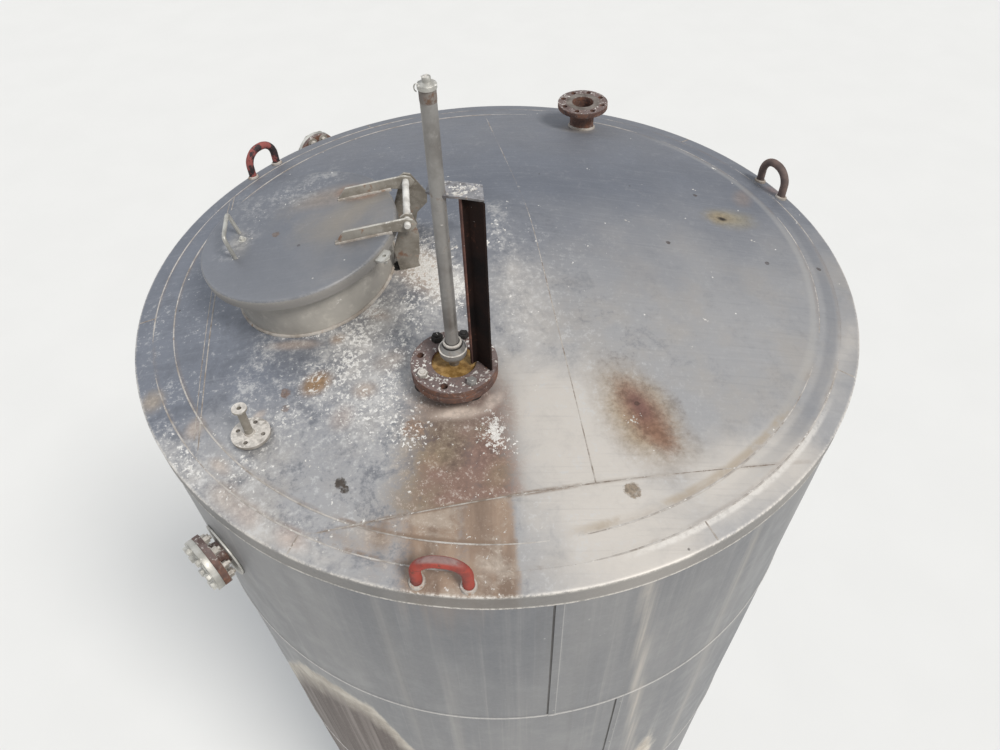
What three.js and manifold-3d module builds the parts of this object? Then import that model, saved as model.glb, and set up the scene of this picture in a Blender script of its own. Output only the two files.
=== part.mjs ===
// Vertical storage tank: an insulated steel cylinder clad in rings of sheet metal, with a shallow
// cone roof of welded plates. The roof carries a hinged manway lid, a standpipe nozzle with an
// angle upright, a small vent nozzle, a rear nozzle and three lifting lugs; two nozzles stand
// out of the side just below the roof. Millimetres, +Z up, origin at the middle of the base.
import * as THREE from 'three';
import { mergeVertices } from 'three/addons/utils/BufferGeometryUtils.js';
import Module from 'manifold-3d';

const wasm = await Module();
wasm.setup();

// Driving dimensions
const GAP = 0.3; // between pieces that touch
const FACETS = 64; // round the tank
const RIM_R = 1150; // outer radius of the roof's rim
const RIM_Z = 10700; // height of the rim's edge above the floor
const SLOPE = 0.215; // rise of the roof per unit of radius
const ROOF_T = 6; // roof plate, measured upright
const BAND_R = 1091; // where the roof plates end and the rim segments begin
const SKIRT_H = 62; // down-turned rim
const SKIRT_T = 4;

const WALL_IN = 1084; // inside of the steel shell
const SHELL_T = 8;
const CLAD_R = 1145.5; // outside of the cladding sheets
const CLAD_T = 2.5;
const CLAD_LOW = 92; // bare shell below the cladding
const RING_TOP = 832; // first cladding joint below the rim
const RING_STEP = 1172; // height of a whole cladding ring
const RING_JOINT = 1.5; // open joint between two rings
const WALL_PARTS = 6;
const FLOOR_R = 1112;
const FLOOR_T = 12;

const PLATE_TURN = THREE.MathUtils.degToRad(7.5); // the plates' seams against X and Y
const SEAM_FRONT = -902; // across the turned frame
const SEAM_LEFT = -897; // along the turned frame
const SEAM_RIGHT = 116;
const RIM_JOINTS = [-117.3, -63.3, -26.8, 45, 117, 189].map(THREE.MathUtils.degToRad);

const MANWAY = {
  r: 561, az: 192, tilt: 8.75, outer: 250, inner: 242, lidTop: 169,
  lidR: 296, lidT: 6, lidSkirt: 34, skirtT: 4,
};
const HINGE = {
  turn: -7.5, pinX: 333, pinZ: 185, pinR: 10, plateT: 8, strapH: 34,
  far: 113, near: -98, // planes of the straps
  farLug: 126.2, farTail: 384, nearLug: -74, nearTail: 352, // planes of the lugs, their reach
};
const EAR = { az: -35, reach: 324, w: 48, t: 7, z: 148 };
const HANDLE = { x: -184, y0: -68, y1: 52, h: 75, barR: 6 };
const FLANGE_T = 20;
const BOLT_HOLE = 10;
const NECK_BELOW = 30; // reach of a roof nozzle's neck below the roof's surface
const PIPE = {
  x: -115, y: -573, neck: 28, neckR: 57, boreR: 51, flangeR: 115, boltCircle: 93, boltTurn: 30,
  ringIn: 60, plate: 8, pipeR: 17, top: 949,
};
const ANGLE = { x: 58, y: 1, turn: -49, w: 58, lip: 18, t: 6, top: 700 };
const VENT = {
  x: -661, y: -688, flangeR: 52, flangeT: 10, boltCircle: 35, boltTurn: -10, up: 12,
  pipeR: 11, pipeH: 99,
};
const REAR = {
  x: 376, y: 872, neck: 84, neckR: 48, boreR: 42, flangeR: 99, boltCircle: 80, boltTurn: 22.5,
  insertR: 100, // round piece of roof that carries the nozzle
};
const SIDE_NECK_END = WALL_IN - 10; // where a side nozzle's neck ends inside the shell
const SIDE_FRONT = {
  az: -136.4, z: -358, reach: 56, neckR: 38, flangeR: 85, flangeT: 20, collarR: 90,
};
const SIDE_BACK = {
  az: 127, z: -98, reach: 86, neckR: 34, flangeR: 85, flangeT: 18, collarR: 0,
};
const LUG_AZ = [-97.5, 22.5, 142.5];
const LUG = { r: 1122, span: 122, h: 116, barR: 14 };

// Materials
const matte = (color, roughness, metalness) =>
  new THREE.MeshStandardMaterial({ color, roughness, metalness });
const MAT = {
  cladding: matte(0x9a9ea0, 0.42, 0.9),
  roof: matte(0x8b8c8c, 0.55, 0.8),
  insulation: matte(0x77787a, 0.7, 0.5),
  weathered: matte(0x9c9a92, 0.6, 0.7),
  rusty: matte(0x6d4a3c, 0.85, 0.3),
  lugRed: matte(0x7c3a30, 0.8, 0.2),
  bright: matte(0xb4b2aa, 0.4, 0.9),
};

const deg = THREE.MathUtils.degToRad;
const roofZ = (r) => SLOPE * (RIM_R - r);
const polar = (r, az) => [r * Math.cos(az), r * Math.sin(az)];

// Solids
function weld(geometry) {
  const bare = geometry.clone();
  for (const key of ['normal', 'uv']) {
    bare.deleteAttribute(key);
  }
  const merged = mergeVertices(bare, 1e-3);
  const index = merged.index.array;
  const kept = [];
  for (let i = 0; i < index.length; i += 3) {
    const [a, b, c] = [index[i], index[i + 1], index[i + 2]];
    if (a !== b && b !== c && c !== a) {
      kept.push(a, b, c);
    }
  }
  merged.setIndex(kept);
  return outward(merged);
}

function outward(geometry) {
  const p = geometry.attributes.position;
  const index = geometry.index.array;
  const [a, b, c] = [new THREE.Vector3(), new THREE.Vector3(), new THREE.Vector3()];
  let volume = 0;
  for (let i = 0; i < index.length; i += 3) {
    a.fromBufferAttribute(p, index[i]);
    b.fromBufferAttribute(p, index[i + 1]);
    c.fromBufferAttribute(p, index[i + 2]);
    volume += a.dot(b.cross(c));
  }
  if (volume < 0) {
    for (let i = 0; i < index.length; i += 3) {
      [index[i], index[i + 1]] = [index[i + 1], index[i]];
    }
  }
  return geometry;
}

function solid(geometry) {
  const g = weld(geometry);
  return new wasm.Manifold(new wasm.Mesh({
    numProp: 3,
    vertProperties: new Float32Array(g.attributes.position.array),
    triVerts: new Uint32Array(g.index.array),
  }));
}

function toGeometry(body) {
  const mesh = body.getMesh();
  const g = new THREE.BufferGeometry();
  g.setAttribute('position', new THREE.BufferAttribute(new Float32Array(mesh.vertProperties), 3));
  g.setIndex(new THREE.BufferAttribute(new Uint32Array(mesh.triVerts), 1));
  g.computeVertexNormals();
  return g;
}

const cut = (body, ...tools) => tools.reduce((left, tool) => left.subtract(tool), body);
const join = (body, ...more) => more.reduce((left, other) => left.add(other), body);

// A closed profile of [radius, height] pairs turned about the Z axis.
function revolve(profile, facets = FACETS) {
  const points = profile.map(([r, h]) => new THREE.Vector2(r, h));
  if (profile[0][0] > 0 || profile[profile.length - 1][0] > 0) {
    points.push(points[0].clone());
  }
  return new THREE.LatheGeometry(points, facets).rotateX(Math.PI / 2);
}

const rod = (r, h, facets = 24) => revolve([[0, 0], [r, 0], [r, h], [0, h]], facets);
const tube = (rIn, rOut, h, facets = 32) =>
  revolve([[rIn, 0], [rOut, 0], [rOut, h], [rIn, h]], facets);

function prism(outline, height) {
  const shape = new THREE.Shape(outline.map(([x, y]) => new THREE.Vector2(x, y)));
  return new THREE.ExtrudeGeometry(shape, { depth: height, bevelEnabled: false });
}

function box(x0, x1, y0, y1, z0, z1) {
  return new THREE.BoxGeometry(x1 - x0, y1 - y0, z1 - z0)
    .translate((x0 + x1) / 2, (y0 + y1) / 2, (z0 + z1) / 2);
}

// The part of a turned body between two azimuths, less half a gap at each cut.
function sector(body, a0, a1, z0, z1) {
  const mid = (a0 + a1) / 2;
  const inset = GAP / 2 / Math.sin((a1 - a0) / 2);
  const [cx, cy] = polar(inset, mid);
  const far = 3 * RIM_R;
  const outline = [[cx, cy]];
  for (const a of [a0, mid, a1]) {
    const [x, y] = polar(far, a);
    outline.push([cx + x, cy + y]);
  }
  return body.intersect(solid(prism(outline, z1 - z0).translate(0, 0, z0)));
}

// A round bar bent along corner points, each corner rounded off.
function bentBar(points, radius, bend, sides = 12, stepsPerBend = 4) {
  const p = points.map((v) => new THREE.Vector3(...v));
  const path = [p[0].clone()];
  for (let i = 1; i < p.length - 1; i += 1) {
    const back = p[i - 1].clone().sub(p[i]).setLength(bend);
    const on = p[i + 1].clone().sub(p[i]).setLength(bend);
    const curve = new THREE.QuadraticBezierCurve3(
      p[i].clone().add(back), p[i], p[i].clone().add(on));
    path.push(...curve.getPoints(stepsPerBend));
  }
  path.push(p[p.length - 1].clone());
  const knots = new THREE.CatmullRomCurve3(path, false, 'chordal');
  const section = new THREE.Shape();
  for (let i = 0; i < sides; i += 1) {
    const [x, y] = polar(radius, (2 * Math.PI * i) / sides);
    if (i) {
      section.lineTo(x, y);
    } else {
      section.moveTo(x, y);
    }
  }
  section.closePath();
  const steps = path.length * 2;
  return new THREE.ExtrudeGeometry(section, { steps, bevelEnabled: false, extrudePath: knots });
}

const tank = new THREE.Group();
const roof = new THREE.Group();
roof.position.z = RIM_Z;
tank.add(roof);

function place(name, shape, material, parent = tank) {
  const geometry = shape.isBufferGeometry ? shape : toGeometry(shape);
  const mesh = new THREE.Mesh(geometry, material);
  mesh.name = name;
  parent.add(mesh);
  return mesh;
}

const matrixOf = (group) => {
  group.updateMatrix();
  return group.matrix.clone();
};

// Everything below the roof's top surface, in the frame given by its matrix in the roof's frame,
// for trimming the feet of pieces that stand on the roof.
const underRoof = (matrix) => solid(revolve([
  [0, -600], [RIM_R, -600], [RIM_R, roofZ(RIM_R) + GAP], [0, roofZ(0) + GAP],
]).applyMatrix4(matrix.clone().invert()));
const boltTools = (count, circle, hole, depth, turn = Math.PI / count) => Array.from(
  { length: count },
  (_, i) => {
    const [x, y] = polar(circle, turn + (2 * Math.PI * i) / count);
    return solid(rod(hole, depth + 20, 12).translate(x, y, -10));
  });

// Manway frame: local X points uphill, local Z is the neck's axis
const manway = new THREE.Group();
const [mx, my] = polar(MANWAY.r, deg(MANWAY.az));
manway.position.set(mx, my, roofZ(MANWAY.r));
manway.rotation.set(0, -deg(MANWAY.tilt), deg(MANWAY.az - 180), 'ZYX');
roof.add(manway);
const manwayMatrix = matrixOf(manway);

// Hinge frame: the manway's, turned so that local Y is the pin's line.
const hinge = new THREE.Group();
hinge.rotation.z = deg(HINGE.turn);
manway.add(hinge);
const underHinge = underRoof(manwayMatrix.clone().multiply(matrixOf(hinge)));

// Side nozzle frames: local Z points out of the shell.
function sideFrame({ az, z }) {
  const group = new THREE.Group();
  group.position.set(0, 0, RIM_Z + z);
  group.rotation.set(0, Math.PI / 2, deg(az), 'ZYX');
  tank.add(group);
  return group;
}
const sideFront = sideFrame(SIDE_FRONT);
const sideBack = sideFrame(SIDE_BACK);
const sideHole = (group, r) => solid(
  rod(r, RIM_R + 200, 32).applyMatrix4(matrixOf(group)));

// Shell
place('floor_plate', rod(FLOOR_R, FLOOR_T, FACETS), MAT.insulation);

const wallTop = (r) => RIM_Z + roofZ(r) - ROOF_T - GAP;
const insulated = CLAD_R - CLAD_T - GAP;
const wallRing = solid(revolve([
  [WALL_IN, FLOOR_T + GAP],
  [WALL_IN + SHELL_T, FLOOR_T + GAP],
  [WALL_IN + SHELL_T, CLAD_LOW],
  [insulated, CLAD_LOW],
  [insulated, wallTop(insulated)],
  [WALL_IN, wallTop(WALL_IN)],
]));
for (let i = 0; i < WALL_PARTS; i += 1) {
  const a0 = deg(-7.5) + (2 * Math.PI * i) / WALL_PARTS;
  const part = sector(wallRing, a0, a0 + (2 * Math.PI) / WALL_PARTS, -10, RIM_Z + 400);
  const bored = cut(part, sideHole(sideFront, SIDE_FRONT.neckR + GAP),
    sideHole(sideBack, SIDE_BACK.neckR + GAP));
  place(`wall_${i + 1}`, bored, MAT.insulation);
}

const joints = [CLAD_LOW];
for (let z = RIM_Z - RING_TOP; z > CLAD_LOW + 200; z -= RING_STEP) {
  joints.splice(1, 0, z);
}
const cladTop = RIM_Z + roofZ(CLAD_R) - ROOF_T - 2 * GAP;
joints.push(cladTop);
for (let i = 0; i < joints.length - 1; i += 1) {
  const low = joints[i];
  const high = joints[i + 1] - (i < joints.length - 2 ? RING_JOINT : 0);
  const ring = tube(CLAD_R - CLAD_T, CLAD_R, high - low, FACETS).translate(0, 0, low);
  const last = i === joints.length - 2;
  const shape = last
    ? cut(solid(ring), sideHole(sideFront, SIDE_FRONT.neckR + GAP),
      sideHole(sideBack, SIDE_BACK.neckR + GAP))
    : ring;
  place(`cladding_ring_${joints.length - 1 - i}`, shape, MAT.cladding);
}

// Roof
const roofShell = solid(revolve([
  [0, roofZ(0) - ROOF_T], [BAND_R, roofZ(BAND_R) - ROOF_T], [BAND_R, roofZ(BAND_R)],
  [0, roofZ(0)],
]));
const rearTool = (r) => solid(rod(r, 600, 32).translate(REAR.x, REAR.y, -100));
const roofHoles = [
  solid(rod(MANWAY.inner, 400, 48).translate(0, 0, -200).applyMatrix4(manwayMatrix)),
  solid(rod(PIPE.neckR + GAP, 600, 32).translate(PIPE.x, PIPE.y, -100)),
  rearTool(REAR.insertR + GAP),
];
const half = GAP / 2;
const far = 2 * RIM_R;
const panels = {
  roof_plate_front: [-far, far, -far, SEAM_FRONT - half],
  roof_plate_left: [-far, SEAM_LEFT - half, SEAM_FRONT + half, far],
  roof_plate_middle: [SEAM_LEFT + half, SEAM_RIGHT - half, SEAM_FRONT + half, far],
  roof_plate_right: [SEAM_RIGHT + half, far, SEAM_FRONT + half, far],
};
for (const [name, [x0, x1, y0, y1]] of Object.entries(panels)) {
  const cell = solid(box(x0, x1, y0, y1, -100, 400).rotateZ(PLATE_TURN));
  place(name, cut(roofShell.intersect(cell), ...roofHoles), MAT.roof, roof);
}
place('rear_insert', cut(roofShell.intersect(rearTool(REAR.insertR)),
  rearTool(REAR.neckR + GAP)), MAT.roof, roof);

const rimRing = solid(revolve([
  [BAND_R + GAP, roofZ(BAND_R + GAP) - ROOF_T],
  [RIM_R - SKIRT_T, roofZ(RIM_R - SKIRT_T) - ROOF_T],
  [RIM_R - SKIRT_T, -SKIRT_H],
  [RIM_R, -SKIRT_H],
  [RIM_R, 0],
  [BAND_R + GAP, roofZ(BAND_R + GAP)],
]));
RIM_JOINTS.forEach((a0, i) => {
  const next = RIM_JOINTS[(i + 1) % RIM_JOINTS.length];
  const a1 = next > a0 ? next : next + 2 * Math.PI;
  place(`rim_segment_${i + 1}`, sector(rimRing, a0, a1, -100, 100), MAT.roof, roof);
});

// Manway
const lidUnder = MANWAY.lidTop - MANWAY.lidT;
const neckShape = solid(tube(MANWAY.inner, MANWAY.outer, lidUnder - GAP + 100, 48)
  .translate(0, 0, -100));
place('manway_neck', cut(neckShape, underRoof(manwayMatrix)), MAT.weathered, manway);

const skirtIn = MANWAY.lidR - MANWAY.skirtT;
place('manway_lid', revolve([
  [0, lidUnder],
  [skirtIn, lidUnder],
  [skirtIn, MANWAY.lidTop - MANWAY.lidSkirt],
  [MANWAY.lidR, MANWAY.lidTop - MANWAY.lidSkirt],
  [MANWAY.lidR, MANWAY.lidTop - 9],
  [MANWAY.lidR - 2.5, MANWAY.lidTop - 3],
  [MANWAY.lidR - 9, MANWAY.lidTop],
  [0, MANWAY.lidTop],
], 48), MAT.roof, manway);

// plates on edge: outlines in the frame's X and Z, given their place along Y
const upright = (outline, y, thickness) =>
  prism(outline, thickness).rotateX(Math.PI / 2).translate(0, y + thickness / 2, 0);
const { pinX, pinZ, pinR, plateT } = HINGE;
const pinHole = (r) => solid(rod(r, 400, 24).rotateX(Math.PI / 2).translate(pinX, 200, pinZ));
const strapFoot = MANWAY.lidTop + GAP;
const strapTop = MANWAY.lidTop + HINGE.strapH;
const strapOutline = [
  [118, strapFoot], [MANWAY.lidR - 8, strapFoot], [pinX - 16, pinZ - 24], [pinX + 10, pinZ - 24],
  [pinX + 26, pinZ - 8], [pinX + 18, pinZ + 10], [pinX, strapTop], [118 + 34, strapTop],
];
const lugOutline = (tail) => [
  [262, -80], [326, -80], [326, 30], [338, 60], [tail - 8, 88], [tail, 120],
  [pinX + 18, pinZ + 12], [pinX, pinZ + 19], [pinX - 18, pinZ + 10], [pinX - 28, pinZ - 24],
  [268, 90],
];
for (const label of ['far', 'near']) {
  const strap = solid(upright(strapOutline, HINGE[label], plateT));
  place(`manway_strap_${label}`, cut(strap, pinHole(pinR + 0.8)), MAT.weathered, hinge);
  const lug = solid(upright(lugOutline(HINGE[`${label}Tail`]), HINGE[`${label}Lug`], plateT));
  place(`manway_lug_${label}`, cut(lug, pinHole(pinR + GAP), underHinge), MAT.weathered, hinge);
}
const pinEnd = HINGE.farLug + 16;
const pinLength = pinEnd - (HINGE.near - 16);
place('manway_pin', rod(pinR, pinLength, 24).rotateX(Math.PI / 2)
  .translate(pinX, pinEnd, pinZ), MAT.bright, hinge);

// an ear on the lid's edge with a hole for a swing bolt
const [earX, earY] = polar(MANWAY.lidR + 18, deg(EAR.az));
const ear = solid(box(EAR.reach - 60, EAR.reach, -EAR.w / 2, EAR.w / 2, EAR.z, EAR.z + EAR.t)
  .rotateZ(deg(EAR.az)));
place('manway_ear', cut(ear, solid(rod(MANWAY.lidR + GAP, 400, 48)),
  solid(rod(8, 400, 16).translate(earX, earY, 0))), MAT.weathered, hinge);

const gripZ = MANWAY.lidTop + HANDLE.h;
const handle = solid(bentBar([
  [HANDLE.x, HANDLE.y1, MANWAY.lidTop - 10], [HANDLE.x - 4, HANDLE.y1 - 3, gripZ],
  [HANDLE.x + 2, HANDLE.y0, gripZ], [HANDLE.x + 3, HANDLE.y0, MANWAY.lidTop - 10],
], HANDLE.barR, 16, 8, 3));
place('manway_handle', cut(handle, solid(box(-300, 0, -200, 200, 0, strapFoot))), MAT.bright,
  hinge);

// Standpipe nozzle
const pipeBase = roofZ(Math.hypot(PIPE.x, PIPE.y));
const standpipe = new THREE.Group();
standpipe.position.set(PIPE.x, PIPE.y, pipeBase);
roof.add(standpipe);

const flangeBolts = (spec, z) => boltTools(8, spec.boltCircle, BOLT_HOLE, FLANGE_T,
  deg(spec.boltTurn)).map((tool) => tool.translate([0, 0, z]));
// a roof nozzle's neck is set through its hole in the roof
function roofNozzle(spec) {
  const neck = solid(tube(spec.boreR, spec.neckR, spec.neck + NECK_BELOW, 32)
    .translate(0, 0, -NECK_BELOW));
  const flange = solid(tube(spec.boreR, spec.flangeR, FLANGE_T, 48).translate(0, 0, spec.neck));
  return cut(join(neck, flange), ...flangeBolts(spec, spec.neck));
}
place('pipe_nozzle', roofNozzle(PIPE), MAT.rusty, standpipe);
const upperZ = PIPE.neck + FLANGE_T + GAP;
const upper = join(
  solid(tube(PIPE.ringIn, PIPE.flangeR, FLANGE_T, 48)),
  solid(rod(PIPE.ringIn + 1, PIPE.plate, 32)));
place('pipe_flange', cut(upper.translate([0, 0, upperZ]), ...flangeBolts(PIPE, upperZ)),
  MAT.rusty, standpipe);

const pipeFoot = upperZ + PIPE.plate + GAP;
const pipeTop = PIPE.top - pipeBase;
place('pipe_union', revolve([
  [0, pipeFoot], [17, pipeFoot], [17, pipeFoot + 26], [25, pipeFoot + 30],
  [36, pipeFoot + 42], [36, pipeFoot + 60], [29, pipeFoot + 66], [29, pipeFoot + 84],
  [0, pipeFoot + 84],
], 24), MAT.bright, standpipe);
const stemFoot = pipeFoot + 84 + GAP;
place('pipe_stem', rod(PIPE.pipeR, pipeTop - 14 - stemFoot, 24).translate(0, 0, stemFoot),
  MAT.weathered, standpipe);
place('pipe_cap', revolve([
  [0, pipeTop - 14 + GAP], [19.5, pipeTop - 14 + GAP], [19.5, pipeTop - 4], [9, pipeTop],
  [9, pipeTop + 12], [0, pipeTop + 12],
], 12), MAT.bright, standpipe);

// an unequal angle stands on the flange and is tied to the stem by a plate
const angleFoot = upperZ + FLANGE_T + GAP;
const angleTop = ANGLE.top - pipeBase;
const angleFrame = new THREE.Group();
angleFrame.position.set(ANGLE.x, ANGLE.y, 0);
angleFrame.rotation.z = deg(ANGLE.turn);
standpipe.add(angleFrame);
place('angle_upright', prism([
  [0, -ANGLE.lip], [ANGLE.t, -ANGLE.lip], [ANGLE.t, 0], [ANGLE.w, 0], [ANGLE.w, ANGLE.t],
  [0, ANGLE.t],
], angleTop - angleFoot).translate(0, 0, angleFoot), MAT.rusty, angleFrame);
const bracket = solid(prism([
  [0, -12], [60, -24], [99, -37], [96, 23], [50, 36], [0, 46], [-22, 32], [-26, 4],
], 6).translate(0, 0, angleTop + GAP));
place('pipe_bracket', cut(bracket, solid(rod(PIPE.pipeR + GAP, 100, 24)
  .translate(0, 0, angleTop - 50))), MAT.weathered, standpipe);

// Vent nozzle
const ventBase = roofZ(Math.hypot(VENT.x, VENT.y));
const vent = new THREE.Group();
vent.position.set(VENT.x, VENT.y, ventBase);
roof.add(vent);
const ventFlange = join(
  solid(rod(24, VENT.up + 40, 24).translate(0, 0, -40)),
  solid(rod(VENT.flangeR, VENT.flangeT, 32).translate(0, 0, VENT.up)));
place('vent_nozzle', cut(ventFlange, underRoof(matrixOf(vent)),
  ...boltTools(4, VENT.boltCircle, 6, VENT.flangeT, deg(VENT.boltTurn))
    .map((tool) => tool.translate([0, 0, VENT.up]))), MAT.bright, vent);
const ventTop = VENT.up + VENT.flangeT + GAP;
const ventStem = join(
  solid(rod(VENT.pipeR, VENT.pipeH, 16).translate(0, 0, ventTop)),
  solid(rod(20, 6, 24).translate(-2, 0, ventTop + VENT.pipeH - 6)));
place('vent_stem', cut(ventStem, solid(rod(6, 60, 16)
  .translate(0, 0, ventTop + VENT.pipeH - 40))).translate([-3, 0, 0]), MAT.bright, vent);

// Rear nozzle
const rearBase = roofZ(Math.hypot(REAR.x, REAR.y));
const rear = new THREE.Group();
rear.position.set(REAR.x, REAR.y, rearBase);
roof.add(rear);
place('rear_nozzle', roofNozzle(REAR), MAT.weathered, rear);

// Side nozzles
function sideNozzle(name, group, spec) {
  const face = CLAD_R + spec.reach;
  const neck = solid(tube(spec.neckR - 5, spec.neckR, face - SIDE_NECK_END, 32)
    .translate(0, 0, SIDE_NECK_END));
  const parts = [solid(tube(spec.neckR - 5, spec.flangeR, spec.flangeT, 40)
    .translate(0, 0, face - spec.flangeT))];
  if (spec.collarR) {
    const shell = solid(rod(CLAD_R + GAP, 2000, FACETS).translate(0, 0, RIM_Z - 1500)
      .applyMatrix4(matrixOf(group).invert()));
    const collar = solid(tube(spec.neckR - 5, spec.collarR, 28, 40)
      .translate(0, 0, CLAD_R - 20));
    parts.push(cut(collar, shell));
  }
  place(name, join(neck, ...parts), MAT.rusty, group);
  place(`${name}_blind`, rod(spec.flangeR, spec.flangeT, 40).translate(0, 0, face + GAP),
    MAT.bright, group);
}
sideNozzle('side_nozzle_front', sideFront, SIDE_FRONT);
sideNozzle('side_nozzle_back', sideBack, SIDE_BACK);

// Lifting lugs
LUG_AZ.forEach((az, i) => {
  const group = new THREE.Group();
  const [x, y] = polar(LUG.r, deg(az));
  group.position.set(x, y, 0);
  group.rotation.z = deg(az);
  roof.add(group);
  const foot = roofZ(LUG.r) - 20;
  const bar = bentBar([
    [0, -LUG.span / 2, foot], [0, -LUG.span / 2, roofZ(LUG.r) + LUG.h - LUG.barR],
    [0, LUG.span / 2, roofZ(LUG.r) + LUG.h - LUG.barR], [0, LUG.span / 2, foot],
  ], LUG.barR, 54, 10, 4);
  place(`lifting_lug_${i + 1}`, cut(solid(bar), underRoof(matrixOf(group))), MAT.lugRed, group);
});

export default tank;
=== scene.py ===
"""A vertical storage tank with a cone roof: the visual model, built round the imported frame.

Everything is in metres in the frame's own axes: +Z up, origin at the middle of the base. Pieces are
meshes written in place, with their object at the origin, so that object coordinates are positions.
"""
import math
import random

import bmesh
import bpy
import numpy as np
from mathutils import Matrix, Vector, noise


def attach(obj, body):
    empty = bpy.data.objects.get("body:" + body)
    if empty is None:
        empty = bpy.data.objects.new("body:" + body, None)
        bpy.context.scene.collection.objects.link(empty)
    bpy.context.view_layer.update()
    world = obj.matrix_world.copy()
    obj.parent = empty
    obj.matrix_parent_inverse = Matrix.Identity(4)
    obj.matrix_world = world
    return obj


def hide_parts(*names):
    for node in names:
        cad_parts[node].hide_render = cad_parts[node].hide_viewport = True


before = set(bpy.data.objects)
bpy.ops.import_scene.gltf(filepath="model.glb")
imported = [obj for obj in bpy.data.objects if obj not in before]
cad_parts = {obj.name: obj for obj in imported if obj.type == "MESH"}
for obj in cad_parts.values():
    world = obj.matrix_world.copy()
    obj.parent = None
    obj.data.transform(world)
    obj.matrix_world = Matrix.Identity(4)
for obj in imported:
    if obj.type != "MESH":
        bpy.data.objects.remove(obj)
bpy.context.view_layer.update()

TAU = 2 * math.pi
rng = random.Random(11)

RIM_R, RIM_Z = 1.150, 10.700
MOST_R = 1.1499  # nothing on the shell stands out further
SLOPE, PLATE = 0.215, 0.006  # of the roof, and its thickness
BAND_R = 1.091  # where the rim band begins
RING_A = 1.026  # a second welded circle, inside the rim band
CLAD_R, CLAD_T, CLAD_LOW = 1.1455, 0.0025, 0.092  # the cladding's face, thickness and lower end
RING_TOP, RING_STEP, RING_GAP = 0.832, 1.172, 0.0015  # the first ring's height, the others', their joint
SEAM_TURN = math.radians(7.5)  # of the roof's grid of plates
SEAM_FRONT, SEAM_LEFT, SEAM_RIGHT = -0.902, -0.897, 0.116
RIM_JOINTS = [-117.3, -63.3, -26.8, 45, 117, 189]  # degrees
LID_R, LID_TOP, LID_T, LID_SKIRT = 0.296, 0.169, 0.006, 0.034  # thickness, and the turned-down edge
PIN_X, PIN_Z, PIN_R = 0.333, 0.185, 0.010  # in the hinge's own axes
STRAP = {"far": 0.113, "near": -0.098}  # each one's place along the pin
LUG_PLATE = {"far": (0.1262, 0.384), "near": (-0.074, 0.352)}  # place along the pin, reach of the tail
FLANGE_R, FLANGE_TOP = 0.115, 0.0683  # of the standpipe
STEM_R, CAP_TOP, BRACKET_Z = 0.017, 0.949, 0.700  # the pipe's radius; heights above the rim's edge


def cone(r):
    return RIM_Z + SLOPE * (RIM_R - r)


def roof_z(x, y):
    return cone(math.hypot(x, y))


def polar(r, degrees):
    a = math.radians(degrees)
    return r * math.cos(a), r * math.sin(a)


def at(x=0.0, y=0.0, z=0.0, turn=0.0):
    return Matrix.Translation((x, y, z)) @ Matrix.Rotation(math.radians(turn), 4, "Z")


def tip(degrees, axis="X"):
    return Matrix.Rotation(math.radians(degrees), 4, axis)


def on_roof(x, y, turn=0.0):
    return at(x, y, roof_z(x, y), turn)


def radial(degrees, z):
    """Local Z points out of the shell, local X points down."""
    return at(0, 0, z, degrees) @ tip(90, "Y")


MANWAY = on_roof(*polar(0.561, 192), 12) @ tip(-8.75, "Y")
HINGE = MANWAY @ tip(-7.5, "Z")
PIPE = on_roof(-0.115, -0.573)
ANGLE = PIPE @ at(0.058, 0.001, 0, -49)
VENT = on_roof(-0.661, -0.688)
REAR = on_roof(0.376, 0.872)
SIDE_FRONT = radial(-136.4, RIM_Z - 0.358)
SIDE_BACK = radial(127, RIM_Z - 0.098)
LUG_R = 1.122
LUGS = [at(*polar(LUG_R, azimuth), RIM_Z, azimuth) for azimuth in (-97.5, 22.5, 142.5)]


def link(name, data):
    obj = bpy.data.objects.new(name, data)
    bpy.context.collection.objects.link(obj)
    return obj


def add_camera():
    pan, tilt, roll = (math.radians(v) for v in (0.18, 47.34, -1.96))
    forward = Vector((math.sin(pan) * math.cos(tilt), math.cos(pan) * math.cos(tilt), -math.sin(tilt)))
    right = Vector((math.cos(pan), -math.sin(pan), 0))
    up = right.cross(forward)
    side = right * math.cos(roll) + up * math.sin(roll)
    top = up * math.cos(roll) - right * math.sin(roll)
    data = bpy.data.cameras.new("camera")
    data.lens, data.sensor_width, data.clip_end = 26.82, 36.0, 200.0
    camera = link("camera", data)
    turn = Matrix((side, top, -forward)).transposed().to_4x4()
    camera.matrix_world = Matrix.Translation((0, -1.9309, 12.3011)) @ turn
    bpy.context.scene.camera = camera


def add_sun(name, azimuth, elevation, strength, spread, tint):
    """A wide, soft light from far off, which lights the object and the floor alike."""
    data = bpy.data.lights.new(name, "SUN")
    data.energy, data.angle, data.color = strength, math.radians(spread), tint
    high = math.radians(elevation)
    towards = Vector((*polar(math.cos(high), azimuth), math.sin(high)))
    link(name, data).rotation_euler = (-towards).to_track_quat("-Z", "Y").to_euler()


add_camera()
add_sun("key", -44, 50, 2.5, 16, (1.0, 0.97, 0.92))
add_sun("fill", 150, 42, 0.7, 50, (0.92, 0.96, 1.0))
world = bpy.data.worlds.new("studio")
world.use_nodes = True
world.node_tree.nodes["Background"].inputs["Color"].default_value = (0.94, 0.965, 1.0, 1)
world.node_tree.nodes["Background"].inputs["Strength"].default_value = 0.48
bpy.context.scene.world = world
bpy.context.scene.view_settings.view_transform = "Standard"


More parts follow.
